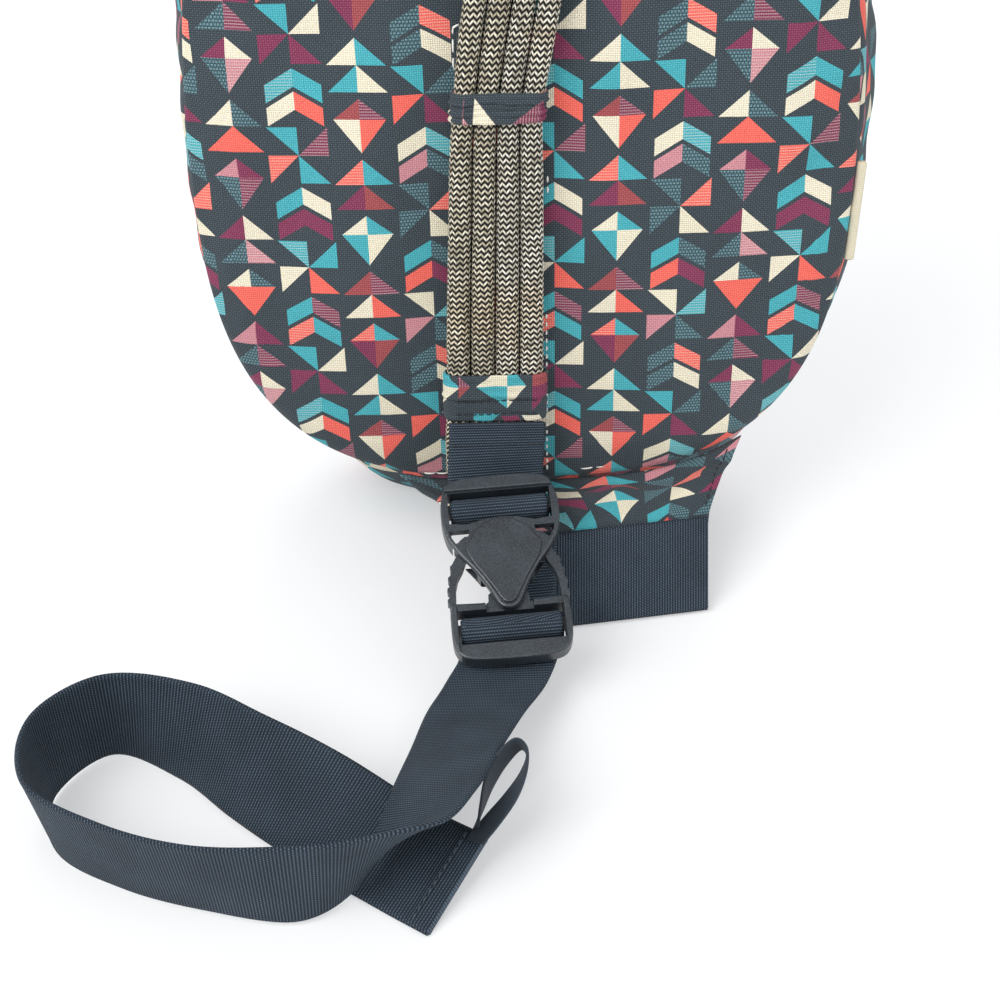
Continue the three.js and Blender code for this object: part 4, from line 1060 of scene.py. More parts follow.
def filled_body():
    """The wall between the two seams, closed by the flat faces behind the panel
    and behind the zips."""
    share = np.linspace(0, 1, WALL_RINGS)[:, None]
    middle = np.sin(np.pi * share)
    left_foot = smoothstep(-edge_x, 20.0, 90.0) * (1 - smoothstep(edge_z, 120.0, 260.0))
    crease = ripple(edge_run / 34.0, share * 0.8, 21)
    crease = 0.9 * crease + 0.9 * ripple(edge_run / 75.0, share * 1.6, 5)
    out = wall_offset(share, -out_z) - LEFT_FOOT_DRAWN * left_foot * middle ** 2
    out = out + middle * crease
    x, height = edge_x + out_x * out, edge_z + out_z * out
    rear = END_RINGS[::-1]
    front_z = PANEL_MIDDLE + (edge_z - PANEL_MIDDLE) * END_RINGS
    rear_z = PANEL_MIDDLE + (height[-1] - PANEL_MIDDLE) * rear
    all_x = np.concatenate([edge_x * END_RINGS, x, x[-1] * rear])
    all_y = [np.zeros_like(front_z), share * depth_at(height), depth_at(rear_z)]
    all_z = np.concatenate([front_z, height, rear_z])
    points = from_bag(all_x, np.concatenate(all_y), all_z)
    points[..., 2] = np.maximum(points[..., 2], 0.0)
    back = np.concatenate([FRONT_CHART, share[:, 0] * WALL_CHART, REAR_CHART])
    chart = chart_of(np.append(edge_run, edge_length), back[:, None] + 7.0)
    piece = skin("filled_body", points, chart)
    inside = (share[:, 0] > 0.01) & (share[:, 0] < 0.99)
    free = np.pad(inside, len(END_RINGS))[:, None]
    inflate(piece, free, WALL_CAP * free + np.zeros(AROUND))
    return piece


body_skin = dress(filled_body(), canvas, "printed_cloth", "main_compartment")

# %% [markdown]
# ## The ropes
#
# The strap is a row of braided ropes, close together above the first keeper and
# a little apart at the lower wrap. Each is a round section carried along its
# path. The braid's ridges are in the mesh: the radius rises and falls with the
# same zigzag rows that colour it.

# %% Rope paths
ROPE_RADIUS, ROPE_COUNT, ROPE_STANDOFF = 4.1, 4, 2.2
ROPE_BOTTOM, ROPE_TOP = 8.0, BAG_HEIGHT - 22.0
WRAP_AT, WRAP_LENGTH, TOP_WRAP_LENGTH = 44.0, 20.0, 30.0
KEEPER_LENGTH, KEEPER_HEIGHTS = 10.5, np.linspace(158.0, ROPE_TOP - 70.0, 3)
ROPE_GAP, GAP_CLOSED, KEEPER_PINCH, PINCH_REACH = 1.25, 0.95, 0.4, 15.0


def panel_reach(height):
    """How far a height lies from the panel's middle: 0 there, and 1 at either end."""
    whole = np.where(height < PANEL_MIDDLE, PANEL_MIDDLE, BAG_HEIGHT - PANEL_MIDDLE)
    return np.abs(height - PANEL_MIDDLE) / whole


def strap_y(height):
    """The ropes follow the crown of the padded panel."""
    return -(pad_height(panel_reach(height)) + ROPE_STANDOFF + ROPE_RADIUS)


def rope_drift(height):
    """The lower ends of the ropes lie a little to the left, in two soft steps."""
    upper, lower = smoothstep(height, 60.0, 140.0), smoothstep(height, 22.0, 44.0)
    return -0.5 * (1 - upper) - 1.1 * (1 - lower)


def rope_pitch(height):
    """The distance between ropes. It closes up towards the first keeper, and
    every keeper pinches it a little."""
    near = bell(np.asarray(height)[..., None], KEEPER_HEIGHTS, PINCH_REACH)
    closed = GAP_CLOSED * smoothstep(height, WRAP_AT, KEEPER_HEIGHTS[0])
    return 2 * ROPE_RADIUS + ROPE_GAP - closed - (KEEPER_PINCH * near).sum(-1)


print("ropes are", round(float(rope_pitch(WRAP_AT)), 2), "mm apart at the lower wrap")

# %% [markdown]
# ## The braided surface
#
# A smooth tube with a braid painted on would look flat at its edges. So each rope
# is a fine grid whose radius carries the braid.

# %% Ropes
ROPE_ROWS, ROPE_SIDES = 1100, 46
RIDGE_SIDEWAYS, RIDGE_OUTWARD, DARK_RIDGE = 0.3, 0.35, 0.25


def rope(number):
    """A round section on the rope's path, as wide as its place in the row. Its
    radius carries the braid: a ridge at each light yarn and a groove between."""
    height = np.linspace(ROPE_BOTTOM, ROPE_TOP, ROPE_ROWS)[:, None]
    turn = np.linspace(0, 1, ROPE_SIDES)
    up = height - ROPE_BOTTOM
    zig = np.abs((turn + braid_wander(up, number, np.sin)) * ZIGZAGS % 1 * 2 - 1)
    yarn = ((up + zig * ZIGZAG_RISE) / BRAID_ROW) % 1
    light = np.sin(np.pi * yarn / LIGHT_YARN)
    dark = DARK_RIDGE * np.sin(np.pi * (yarn - LIGHT_YARN) / (1 - LIGHT_YARN))
    ridge = np.where(yarn < LIGHT_YARN, light, dark)
    sway = 0.22 * np.sin(height / 37.0 + number * 1.9)
    sway = sway + 0.12 * np.sin(height / 11.0 + number * 4.1)
    pitch = rope_pitch(height)
    wide = pitch / 2 - 0.12 - RIDGE_SIDEWAYS + RIDGE_SIDEWAYS * ridge
    deep = ROPE_RADIUS - RIDGE_OUTWARD + RIDGE_OUTWARD * ridge
    middle = strap_x(height) + rope_drift(height)
    middle = middle + (number - (ROPE_COUNT - 1) / 2) * pitch
    x = middle + wide * np.cos(2 * np.pi * turn)
    y = strap_y(height) + sway + deep * np.sin(2 * np.pi * turn)
    chart = np.stack(np.broadcast_arrays(turn + 10 * number, up * MM), -1)
    return skin(f"braided_rope_{number + 1}", from_bag(x, y, height)[:, :-1], chart)


for number in range(ROPE_COUNT):
    dress(rope(number), braid, "rope", f"rope_cord_{number + 1}")

# %% [markdown]
# ## The cloth sleeves
#
# Short sleeves of the same canvas, with the print turned, hold the ropes
# together. The cloth is pulled over the ropes, so it rises over each and sinks
# between them, and it creases across its length. The section is a long round
# shape; the outer and the inner wall join at both hems.

# %% Sleeves
SLEEVE_STEPS, SLEEVE_SIDES, SLEEVE_GAP = 30, 145, 0.1
SINK_BETWEEN, HEM_ROLL, LEAST_WALL = 0.4, 0.4, 0.2


def sleeve_section(reach, arc):
    """A stadium: two straight runs and two half circles. For each point its
    length round the section, its place on the middle line and its way out."""
    straight = 2 * reach
    run = np.linspace(0, 2 * (straight + arc), SLEEVE_SIDES)
    front, right = run < straight, (run >= straight) & (run < straight + arc)
    back = (run >= straight + arc) & (run < 2 * straight + arc)
    bend = np.where(right, run - straight, run - 2 * straight - arc) / arc * np.pi
    backward = straight + arc + reach - run
    cx = np.select([front, right, back], [run - reach, reach, backward], -reach)
    nx = np.where(front | back, 0.0, np.where(right, np.sin(bend), -np.sin(bend)))
    ny = np.select([front, back, right], [-1.0, 1.0, -np.cos(bend)], np.cos(bend))
    return run, cx, nx, ny


def sleeve(name, height, length, wall, node, seed, lines, wrinkle, spread=0.0):
    """Outer and inner rings of a stadium section along the ropes. The section
    is pressed in between the ropes. lines are folds across it, each a place on
    the length, a depth and a width; wrinkle is the size of the finer creases."""
    reach = (ROPE_COUNT - 1) / 2 * float(rope_pitch(height))
    inner = ROPE_RADIUS + SLEEVE_GAP
    run, cx, nx, ny = sleeve_section(reach, np.pi * (inner + wall))
    share = np.linspace(0, 1, SLEEVE_STEPS)
    hem = np.concatenate([share, share[::-1]])[:, None]
    outer = np.repeat([1.0, 0.0], SLEEVE_STEPS)[:, None]
    between = 0.5 - 0.5 * np.cos(np.pi * (cx + reach) * (ROPE_COUNT - 1) / reach)
    press = -SINK_BETWEEN * between * (np.abs(cx) < reach) * (ny < 0)
    drift = 0.018 * np.sin(cx / 6.0 + seed) + 0.012 * np.sin(cx / 2.7 + 2 * seed)
    drift = drift * WRAP_LENGTH / length
    folds = sum(depth * bell(hem, at + drift, wide) for at, depth, wide in lines)
    slow = 1.5 * np.sin(cx / 7.0 + seed)
    fine = np.sin(2 * np.pi * hem * length / 2.9 + slow)
    fine = fine + ripple(cx / 15.0, hem * length / 4.0, seed)
    roll = -HEM_ROLL * np.exp(-np.minimum(hem, 1 - hem) * length / 0.5)
    lift = wall + folds + wrinkle * fine + roll + press
    off = inner + outer * np.maximum(lift, LEAST_WALL)
    waver = 0.3 * np.sin(cx / 9.0 + seed) * (2 * hem - 1)
    at = height - length / 2 + hem * length + outer * waver
    x = strap_x(at) + float(rope_drift(height)) + cx + nx * (off + spread)
    points = from_bag(x, strap_y(at) + ny * off, at)[:, :-1]
    chart = chart_of(run + seed * 13.0, hem * length + seed * 41.0 + height)
    chart = np.concatenate([chart, chart[:1]], 0)
    piece = skin(name, points, chart, along=True)
    dress(piece, canvas_turned, "printed_cloth", node)
    return inner + wall, reach


def sewn_across(name, height, off, reach):
    """A row of dark stitches over the front of a sleeve."""
    x = np.linspace(-reach - 2, reach + 2, 60)
    y = float(strap_y(height)) - off
    path = from_bag(strap_x(height) + x, y, height + 0.25 * np.sin(x / 5.0))
    facing = np.broadcast_to(into_air, path.shape)
    sewn(name, path, facing, dark_thread, "printed_cloth", 2.8)


print("points round a sleeve:", SLEEVE_SIDES - 1)

# %% [markdown]
# ## The wraps and the keepers
#
# A wrap closes each end of the ropes, and narrow keepers hold them between. The
# lower wrap is stitched across twice, and the stitches lie in its deepest folds.

# %% Wraps and keepers
WRAP_WALL, KEEPER_WALL, TOP_WRAP_DOWN = 1.1, 0.85, 9.0
WRAP_LINES = [
    (0.86, -0.45, 0.022), (0.46, -0.7, 0.022), (0.53, 0.4, 0.04), (0.17, -0.4, 0.025),
]
KEEPER_LINES = [
    (0.6, -0.95, 0.035), (0.69, 0.5, 0.05), (0.43, -0.5, 0.035), (0.35, 0.35, 0.05),
    (0.22, -0.5, 0.03), (0.13, 0.3, 0.05),
]
STITCHED_AT = (0.46, 0.17)

wrap_off, wrap_reach = sleeve(
    "lower_wrap", WRAP_AT, WRAP_LENGTH, WRAP_WALL, "rope_end_wrap", 7, WRAP_LINES, 0.06,
    spread=0.9,
)
for share in STITCHED_AT:
    sewn_across(
        f"lower_wrap_stitches_{int(share * 100)}",
        WRAP_AT + (share - 0.5) * WRAP_LENGTH, wrap_off - 0.15, wrap_reach,
    )
for i, height in enumerate(KEEPER_HEIGHTS):
    sleeve(
        f"keeper_{i + 1}", float(height), KEEPER_LENGTH, KEEPER_WALL,
        f"rope_keeper_{i + 1}", 8 + i, KEEPER_LINES, 0.2,
    )
sleeve(
    "upper_wrap", ROPE_TOP - TOP_WRAP_DOWN, TOP_WRAP_LENGTH, WRAP_WALL, "rope_top_wrap",
    11, WRAP_LINES, 0.06,
)

# %% [markdown]
# ## The buckle's own plane
#
# The buckle hangs on a slope, a little turned. Straps that pass through it are
# easiest to place in its own plane: across it, down it and off it.

# %% Buckle plane
WEBBING_WIDTH, WEBBING_THICKNESS = 38.0, 1.8
BUCKLE_TOP = np.array([-12.5, -29.0, 55.0])
BUCKLE_SLOPE, BUCKLE_YAW, BUCKLE_ROLL = (math.radians(angle) for angle in (26, 6, -3))


def turn_matrix(axis, angle):
    """A turn about one axis by the right-hand rule."""
    c, s = math.cos(angle), math.sin(angle)
    i, j = (axis + 1) % 3, (axis + 2) % 3
    matrix = np.eye(3)
    matrix[i, i], matrix[i, j], matrix[j, i], matrix[j, j] = c, -s, s, c
    return matrix


buckle_turn = turn_matrix(2, BUCKLE_YAW) @ turn_matrix(0, BUCKLE_SLOPE)
buckle_turn = buckle_turn @ turn_matrix(1, BUCKLE_ROLL)


def along_buckle(down, z, shift=0.0):
    """Both edges of a strap that lies across the buckle, in floor millimetres:
    half its width to either side, turned and moved with the buckle."""
    sides = (shift - WEBBING_WIDTH / 2, shift + WEBBING_WIDTH / 2)
    return [BUCKLE_TOP + buckle_turn @ np.array([x, -down, z]) for x in sides]


def on_floor(points):
    """Floor millimetres, measured from the panel's plane, to model metres."""
    return (np.asarray(points) - np.array([0, REST_CENTRE, 0])) * MM


def bag_to_floor(point):
    """Model metres to floor millimetres."""
    return np.asarray(point) / MM + np.array([0, REST_CENTRE, 0])


print("the buckle faces", np.round(buckle_turn[:, 2], 3))

# %% [markdown]
# ## Webbing
#
# Every strap is one kind of webbing: a flat band of even width and thickness.
# Its two edges run through pairs of places, joined by a smooth curve whose pace
# follows the distance between the places, so tight turns stay round. The section
# is a thin rounded rectangle, a little fuller at its two edges.

# %% Strap edges
BAND_STEP = 0.9


def smooth_path(places, steps):
    """A smooth curve through places: cubic pieces whose slopes weigh each
    neighbour by the square root of its distance."""
    first, last = 2 * places[0] - places[1], 2 * places[-1] - places[-2]
    p = np.concatenate([[first], places, [last]])
    gap = np.sqrt(np.linalg.norm(np.diff(p, axis=0), axis=1))[:, None]
    d0, d1, d2 = gap[:-2], gap[1:-1], gap[2:]
    x0, x1, x2, x3 = p[:-3], p[1:-2], p[2:-1], p[3:]
    s1 = ((x1 - x0) / d0 - (x2 - x0) / (d0 + d1) + (x2 - x1) / d1) * d1
    s2 = ((x2 - x1) / d1 - (x3 - x1) / (d1 + d2) + (x3 - x2) / d2) * d1
    t = np.linspace(0, 1, steps, endpoint=False)[None, :, None]
    x1, x2, s1, s2 = (a[:, None] for a in (x1, x2, s1, s2))
    square = (-3 * x1 + 3 * x2 - 2 * s1 - s2) * t ** 2
    cube = (2 * x1 - 2 * x2 + s1 + s2) * t ** 3
    return np.concatenate([(x1 + s1 * t + square + cube).reshape(-1, 3), places[-1:]])


def strap_edges(pairs, width, steps, even_from=0):
    """Both edges of a strap through its pairs, set to an even width from one
    pair on. Before it the pairs may lie on a slant."""
    left, right = (smooth_path(np.array(edge), steps) for edge in zip(*pairs))
    middle, half = (left + right) / 2, (right - left) / 2
    slanted = np.arange(len(half))[:, None] < even_from * steps
    half = np.where(slanted, half, unit(half) * width / 2)
    return middle - half, middle + half


def evenly(left, right):
    """The same strap at equal steps along its middle line."""
    run = run_along((left + right) / 2)
    at = np.linspace(0, run[-1], max(8, int(run[-1] / BAND_STEP)))
    return at_run(at, run, left), at_run(at, run, right), at


print("rows of a strap:", BAND_STEP, "mm apart")

# %% [markdown]
# ## From edges to a band
#
# Each row of the band is one section, set up from the line between its edges. A
# hem is the same band with twice the cloth, so its last stretch is thicker.

# %% Bands
BAND_POINTS, EDGE_ROUND, BEAD_AT, BEAD_WIDE = 21, 0.7, 1.4, 0.9
HEM_THICKER, HEM_STEP = 0.7, 0.8


def band(name, left, right, thickness, start=0.0, hem=0.0, fanned=False):
    """A band between two edges in floor millimetres: its section is a rounded
    flat shape set up from the edge-to-edge line and the band's own upright. The
    last stretch is thicker where it is turned over to a hem. The map's length is
    that of the middle line, or of each line of its own where the band fans out."""
    left, right, run = evenly(left, right)
    across = right - left
    up = unit(np.cross(across, np.gradient((left + right) / 2, axis=0)))
    width = np.linalg.norm(across[0])
    share = np.linspace(0, 1, BAND_POINTS)
    share = 0.35 * (1 - np.cos(np.pi * share)) / 2 + 0.65 * share
    edge = np.minimum(share, 1 - share) * width
    round_edge = np.minimum(1, edge / EDGE_ROUND) ** 0.5
    half = thickness / 2 * (0.9 * round_edge + 0.1 * bell(edge, BEAD_AT, BEAD_WIDE))
    ring = np.concatenate([share, share[-2:0:-1]])
    lift = np.concatenate([half, -half[-2:0:-1]])
    hem_from = run[-1] - hem
    full = 1 + HEM_THICKER * smoothstep(run, hem_from - HEM_STEP, hem_from) * (hem > 0)
    points = left[:, None] + across[:, None] * ring[:, None]
    points = points + up[:, None] * (lift * full[:, None])[..., None]
    path = np.append(ring, ring[0])
    rows = run[:, None]
    if fanned:
        lines = left[:, None] + across[:, None] * path[:, None]
        steps = np.linalg.norm(np.diff(lines, axis=0), axis=-1)
        rows = np.concatenate([np.zeros((1, len(path))), np.cumsum(steps, 0)])
    chart = chart_of(path * width, rows + start)
    return skin(name, on_floor(points), chart), float(run[-1])


def strap(name, edges, nodes, held, rests_on, across=None, with_pieces=(), **shape):
    """A finished webbing strap; its length is printed. Where across is given,
    the strap gets no body and its places are baked into its mesh; the bodies
    and places in across are not used."""
    piece, length = band(name, *edges, WEBBING_THICKNESS, **shape)
    dress(piece, webbing, "webbing", *nodes, body=None if across else "bag")
    if across:
        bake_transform(piece)
    print(name, "length", round(length), "mm")


print("points round a band:", 2 * BAND_POINTS - 2)

# %% [markdown]
# ## The anchor strap
#
# A short strap comes out under the lower wrap, lies over the rope ends, goes
# under the buckle's top bar, round the second bar and back up behind itself. One
# row of dark stitches crosses it.

# %% Anchor strap
GAP, ANCHOR_SHIFT, STITCH_ROW_AT = 0.3, 0.3, 9.0
ROUND_BARS = (
    (-3.4, -5.0), (2, -4.6), (6, -3.4), (8.3, -0.6), (9.4, 2.4), (12.6, 3.8),
    (15.9, 2.4), (16.8, -0.6), (15.8, -3.7), (12.4, -5.2), (8, -6.2), (2, -8.2),
    (-2, -9.6),
)
wrap_foot = WRAP_AT - WRAP_LENGTH / 2 - GAP - 0.4
on_ropes = float(strap_y(wrap_foot)) - ROPE_RADIUS - WEBBING_THICKNESS / 2 - GAP


def across_bag(y, height):
    """Both edges of a strap that lies level across the ropes."""
    x = float(strap_x(height)) + ANCHOR_SHIFT
    sides = (x - WEBBING_WIDTH / 2, x + WEBBING_WIDTH / 2)
    return [bag_to_floor(from_bag(side, y, height)) for side in sides]


anchor_pairs = [
    across_bag(on_ropes, wrap_foot), across_bag(on_ropes - 0.2, wrap_foot - 5),
]
anchor_pairs += [along_buckle(*place) for place in ROUND_BARS]
anchor_edges = strap_edges(anchor_pairs, WEBBING_WIDTH, 8)
strap("anchor_webbing", anchor_edges, ["anchor_strap"], "stretched", ["buckle_female"])

left, right, run = evenly(*anchor_edges)
row = int(np.searchsorted(run, STITCH_ROW_AT))
face = unit(np.cross(right[row] - left[row], left[row + 1] - left[row - 1]))
face = face * -np.sign(face[1])
line = left[row] + (right[row] - left[row]) * np.linspace(0.02, 0.98, 60)[:, None]
line = on_floor(line + face * WEBBING_THICKNESS * 0.52)
facing = np.broadcast_to(face, line.shape)
sewn("anchor_stitches", line, facing, dark_thread, "webbing", 2.3, 0.86)

# %% [markdown]
# ## The wing
#
# A wing of canvas is sewn along the panel's lower edge and leans down to the
# floor in front of the bag. The wing is a grid between its foot and the seam,
# with folds that die out at both sewn edges.

# %% Wing places
WING_LEAN, WING_YAW, WING_FOOT = math.radians(34), 0.19, -42
WING_RIGHT, WING_LEFT, WING_KNEE = 73.0, -4.0, -20.0
SEAM_LEFT, SEAM_RIGHT, SEAM_OFF, SEAM_BEHIND = -52, 86, 2.4, -2.2
CLOTH_THICKNESS = 1.6


def on_wing(x, up, off):
    """A place on the leaning plane of the wing's foot: along, up and off it."""
    lean, rise = math.sin(WING_LEAN), math.cos(WING_LEAN)
    foot = WING_FOOT - WING_YAW * (WING_RIGHT - x)
    x, up, off = np.broadcast_arrays(x, up, off)
    return np.stack([x, foot + up * lean - off * rise, up * rise + off * lean], -1)


def below_seam(x, off):
    """A place just outside the panel's lower edge, square to its slope."""
    slope = lower_edge(x + 0.5) - lower_edge(x - 0.5)
    long = np.hypot(1, slope)
    place = from_bag(x + off * slope / long, SEAM_BEHIND, lower_edge(x) - off / long)
    return bag_to_floor(place)


print("the wing's right foot stands at", np.round(on_wing(WING_RIGHT, 0, 0), 1), "mm")

# %% [markdown]
# ## The wing's cloth
#
# The lower part lies flat behind the webbing, and the upper part goes to the
# seam with a hump and folds, as loose cloth does.

# %% Wing
WING_ROWS, WING_COLUMNS, WING_WIDTH, WING_CHART = 60, 110, 110.0, (112.0, 39.0)
HUMP, HUMP_END, SIDE_ROUND = 2.4, 0.7, 0.8
PIPING, PIPING_AT, PIPING_WIDE = 0.25, 3.0, 2.2


def wing_cloth():
    """From the foot to the knee a flat band, from the knee to the seam a lerp
    with a hump and folds. The lower side follows at the cloth's thickness."""
    v = np.linspace(0, 1, WING_COLUMNS)
    row = np.linspace(0, 2, WING_ROWS)[:, None]
    foot = WING_LEFT + (WING_RIGHT - 3 - WING_LEFT) * v
    knee = WING_KNEE + (WING_RIGHT + 1 - WING_KNEE) * v
    seam = SEAM_LEFT + (SEAM_RIGHT - SEAM_LEFT) * v
    half = CLOTH_THICKNESS / 2
    to_knee, to_seam = np.minimum(row, 1), (row - 1).clip(0)
    rise = 2 + to_knee * (WEBBING_WIDTH + 1)
    low = on_wing(foot + (knee - foot) * to_knee, rise, -half)
    top = on_wing(knee, 3 + WEBBING_WIDTH, -half)
    high = top + (below_seam(seam, SEAM_OFF) - top) * to_seam[..., None]
    bump = np.sin(np.pi * np.minimum(1, to_seam / HUMP_END))
    high[..., 2] += HUMP * bump * (1 - 0.5 * np.cos(5 * np.pi * v))
    middle = np.where(row[..., None] <= 1, low, high)
    up = unit(np.cross(np.gradient(middle, axis=1), np.gradient(middle, axis=0)))
    calm = smoothstep(row, 1.0, 1.25) * (1 - smoothstep(row, 1.72, 1.95))
    folds = 1.1 * ripple(v * 5.0 + row * 0.8, row * 1.2, 31)
    folds = calm * (folds + 0.5 * ripple(v * 11.0, row * 2.0, 12))
    middle = middle + up * folds[..., None]
    side = np.minimum(v, 1 - v) * WING_WIDTH
    thin = np.minimum(1, side / SIDE_ROUND + 0.15)
    thick = half * thin ** 0.5 + PIPING * bell(side, PIPING_AT, PIPING_WIDE) * (row > 1)
    upper, lower = middle + up * thick[..., None], middle - up * half * thin[..., None]
    points = np.concatenate([upper, lower[:, ::-1]], 1)
    run_v = v * WING_CHART[0]
    across = np.concatenate([run_v, run_v[::-1], run_v[:1]])
    chart = chart_of(across + 150.0, row * WING_CHART[1] + 60.0)
    length = np.linalg.norm(np.diff(middle, axis=0), axis=-1).sum(0).mean()
    return skin("wing_cloth", on_floor(points), chart), middle, up, float(length)


wing_piece, wing_middle, wing_up, wing_length = wing_cloth()
dress(wing_piece, canvas, "printed_cloth", "wing")
wing_length * MM
print("wing from foot to seam:", round(wing_length), "mm")

# %% [markdown]
# ## The fold under the buckle
#
# Webbing runs along the foot of the wing. Under the buckle it is folded over on a
# slant, which turns it by a right angle, and it comes up to the buckle's lower
# half. A fold is a half turn about a slanted line.

# %% Fold
STRAP_TURN, FOLD_FOOT, FOLD_TOP = -7.5, 1.0, 1 + WEBBING_WIDTH
FOLD_RADIUS = (WEBBING_THICKNESS + 0.5) / 2
turn_right, turn_left = STRAP_TURN + WEBBING_WIDTH / 2, STRAP_TURN - WEBBING_WIDTH / 2
wing_strap_end = turn_right + 2.0
strap_off = WEBBING_THICKNESS / 2 + 0.4
over_fold = strap_off + 2 * FOLD_RADIUS


def before_fold(share):
    """Lines that turn from square across the wing strap to the slant of the fold."""
    start = wing_strap_end - GAP
    left, right = (start + (end - start) * share for end in (turn_left, turn_right))
    return [on_wing(left, FOLD_FOOT, strap_off), on_wing(right, FOLD_TOP, strap_off)]


def round_fold(degrees):
    """The slanted line, carried half round the fold."""
    angle = math.radians(degrees)
    out = FOLD_RADIUS * math.sin(angle) / math.sqrt(2)
    off = strap_off + FOLD_RADIUS * (1 - math.cos(angle))
    left = on_wing(turn_left - out, FOLD_FOOT + out, off)
    return [left, on_wing(turn_right - out, FOLD_TOP + out, off)]


def after_fold(left_y, left_z, up):
    """The left edge on the floor, and the right edge still on the wing's plane."""
    left = np.array([turn_left, left_y, left_z])
    return [left, on_wing(turn_right, up, over_fold + 0.5)]


def over_floor(left_y, left_z, right_y, right_z):
    """Both edges, at the strap's full width across the bag."""
    left = np.array([turn_left, left_y, left_z])
    return [left, np.array([turn_right, right_y, right_z])]


turn_pairs = [before_fold(share) for share in (0, 0.4, 0.75)]
turn_pairs += [round_fold(degrees) for degrees in (0, 60, 120, 180)]
turn_pairs += [
    after_fold(-66, 2.6, 30), after_fold(-68.6, 2.1, 18), after_fold(-70.8, 2, 7),
    over_floor(-73.2, 2.6, -61, 2.6), over_floor(-76.2, 4.8, -68.6, 2.6),
    over_floor(-79.4, 10.5, -75.4, 8.5),
]
print("fold:", len(turn_pairs), "pairs of places")

# %% [markdown]
# ## The way over the bar and round the floor
#
# The webbing goes over the bar of the buckle's lower half. Its tail rolls onto
# one edge and winds in a loop over the floor to a hem. Each place on the floor is
# given by its lower edge, its heading and how far it stands up.

# %% Strap places
EDGE_STEPS = 12
OVER_BAR = (
    (58.6, -7), (59.2, -2), (60.1, 2.2), (61.8, 4), (63.9, 4.4), (66, 4), (67.8, 2.2),
    (68.4, -2), (69.6, -5.3, -0.8), (73, -7, -2.4),
)
BAR_PLACE = len(turn_pairs) + 4
TAIL_PLACES = (
    (-31.5, -99.5, 11.2, -101, 8), (-37.5, -115, 11.5, -106, 14),
    (-42, -136, 14, -112, 22), (-47.5, -163, 19, -119, 28),
    (-52, -181, 16.5, -122, 40), (-54.5, -189, 8.5, -138, 62),
    (-64.5, -197.5, 2.2, -155, 78), (-76, -202.5, 1.2, -176, 85),
    (-105, -197.5, 1, 167, 79), (-133, -188.5, 1, 156, 79), (-158, -173, 1, 125, 80),
    (-166, -148, 1, 75, 86), (-150, -126, 1, 10, 91), (-124, -138.3, 1, -38, 71),
    (-104, -156.5, 1.2, -41, 56), (-84, -173, 1.2, -38, 38), (-62, -189, 1, -34, 21),
    (-46, -200, 1, -33, 19), (-34, -208, 1.1, -33, 21),
)


def laid(x, y, z, heading, raised):
    """The left edge, the way the strap heads, and how far its right edge is
    raised from lying flat, in degrees."""
    heading, raised = math.radians(heading), math.radians(raised)
    flat = math.cos(raised)
    edge = [-math.sin(heading) * flat, math.cos(heading) * flat, math.sin(raised)]
    left = np.array([x, y, z])
    return [left, left + WEBBING_WIDTH * np.array(edge)]


adjuster_pairs = turn_pairs + [along_buckle(*place) for place in OVER_BAR]
adjuster_pairs += [laid(*place) for place in TAIL_PLACES]
adjuster_left, adjuster_right = strap_edges(
    adjuster_pairs, WEBBING_WIDTH, EDGE_STEPS, len(turn_pairs)
)
bar = BAR_PLACE * EDGE_STEPS
print("adjuster strap: bar at place", bar, "of", len(adjuster_left))

# %% [markdown]
# ## The tape loop
#
# A narrow tape is caught in the hem as a loop to pull at. It stands on edge, and
# turns about its own run as a stiff tape does, so each place has a twist.

# %% Tape loop
LOOP_WIDTH, LOOP_THICKNESS, TAIL_HEADING = 8.0, 1.0, -0.58
LOOP_PLACES = (
    (32, -1.6, 3.4, 70), (40, -0.2, 4.0, 72), (50, 1.4, 5.0, 58), (59.5, 0.8, 5.6, 32),
    (66, -2.0, 6, 8), (67, -5.6, 6, -6), (60.5, -8.0, 5.6, -14), (51, -7.8, 5.2, -8),
    (42, -5.4, 4.8, 10), (35.5, -3.4, 4.4, 30),
)
hem_low, hem_top = adjuster_left[-1], adjuster_right[-1]
hem_along = unit(hem_top - hem_low)
tail_along = np.array([math.cos(TAIL_HEADING), math.sin(TAIL_HEADING), 0])
tape_side = unit(np.cross(hem_along, tail_along))
tape_side = tape_side * np.sign(tape_side[2])


def near_hem(along, out, up, twist):
    """A place beside the hem, with the tape turned about its own run by a twist."""
    middle = hem_low + hem_along * along + tail_along * out + np.array([0, 0, up])
    twist = math.radians(twist)
    half = tape_side * math.cos(twist) + tail_along * math.sin(twist)
    return [middle - half * LOOP_WIDTH / 2, middle + half * LOOP_WIDTH / 2]


loop_edges = strap_edges([near_hem(*place) for place in LOOP_PLACES], LOOP_WIDTH, 10)
tape_loop, loop_length = band("tape_loop", *loop_edges, LOOP_THICKNESS)
dress(tape_loop, loop_tape, "webbing", "pull_loop")
print("tape loop length", round(loop_length), "mm")
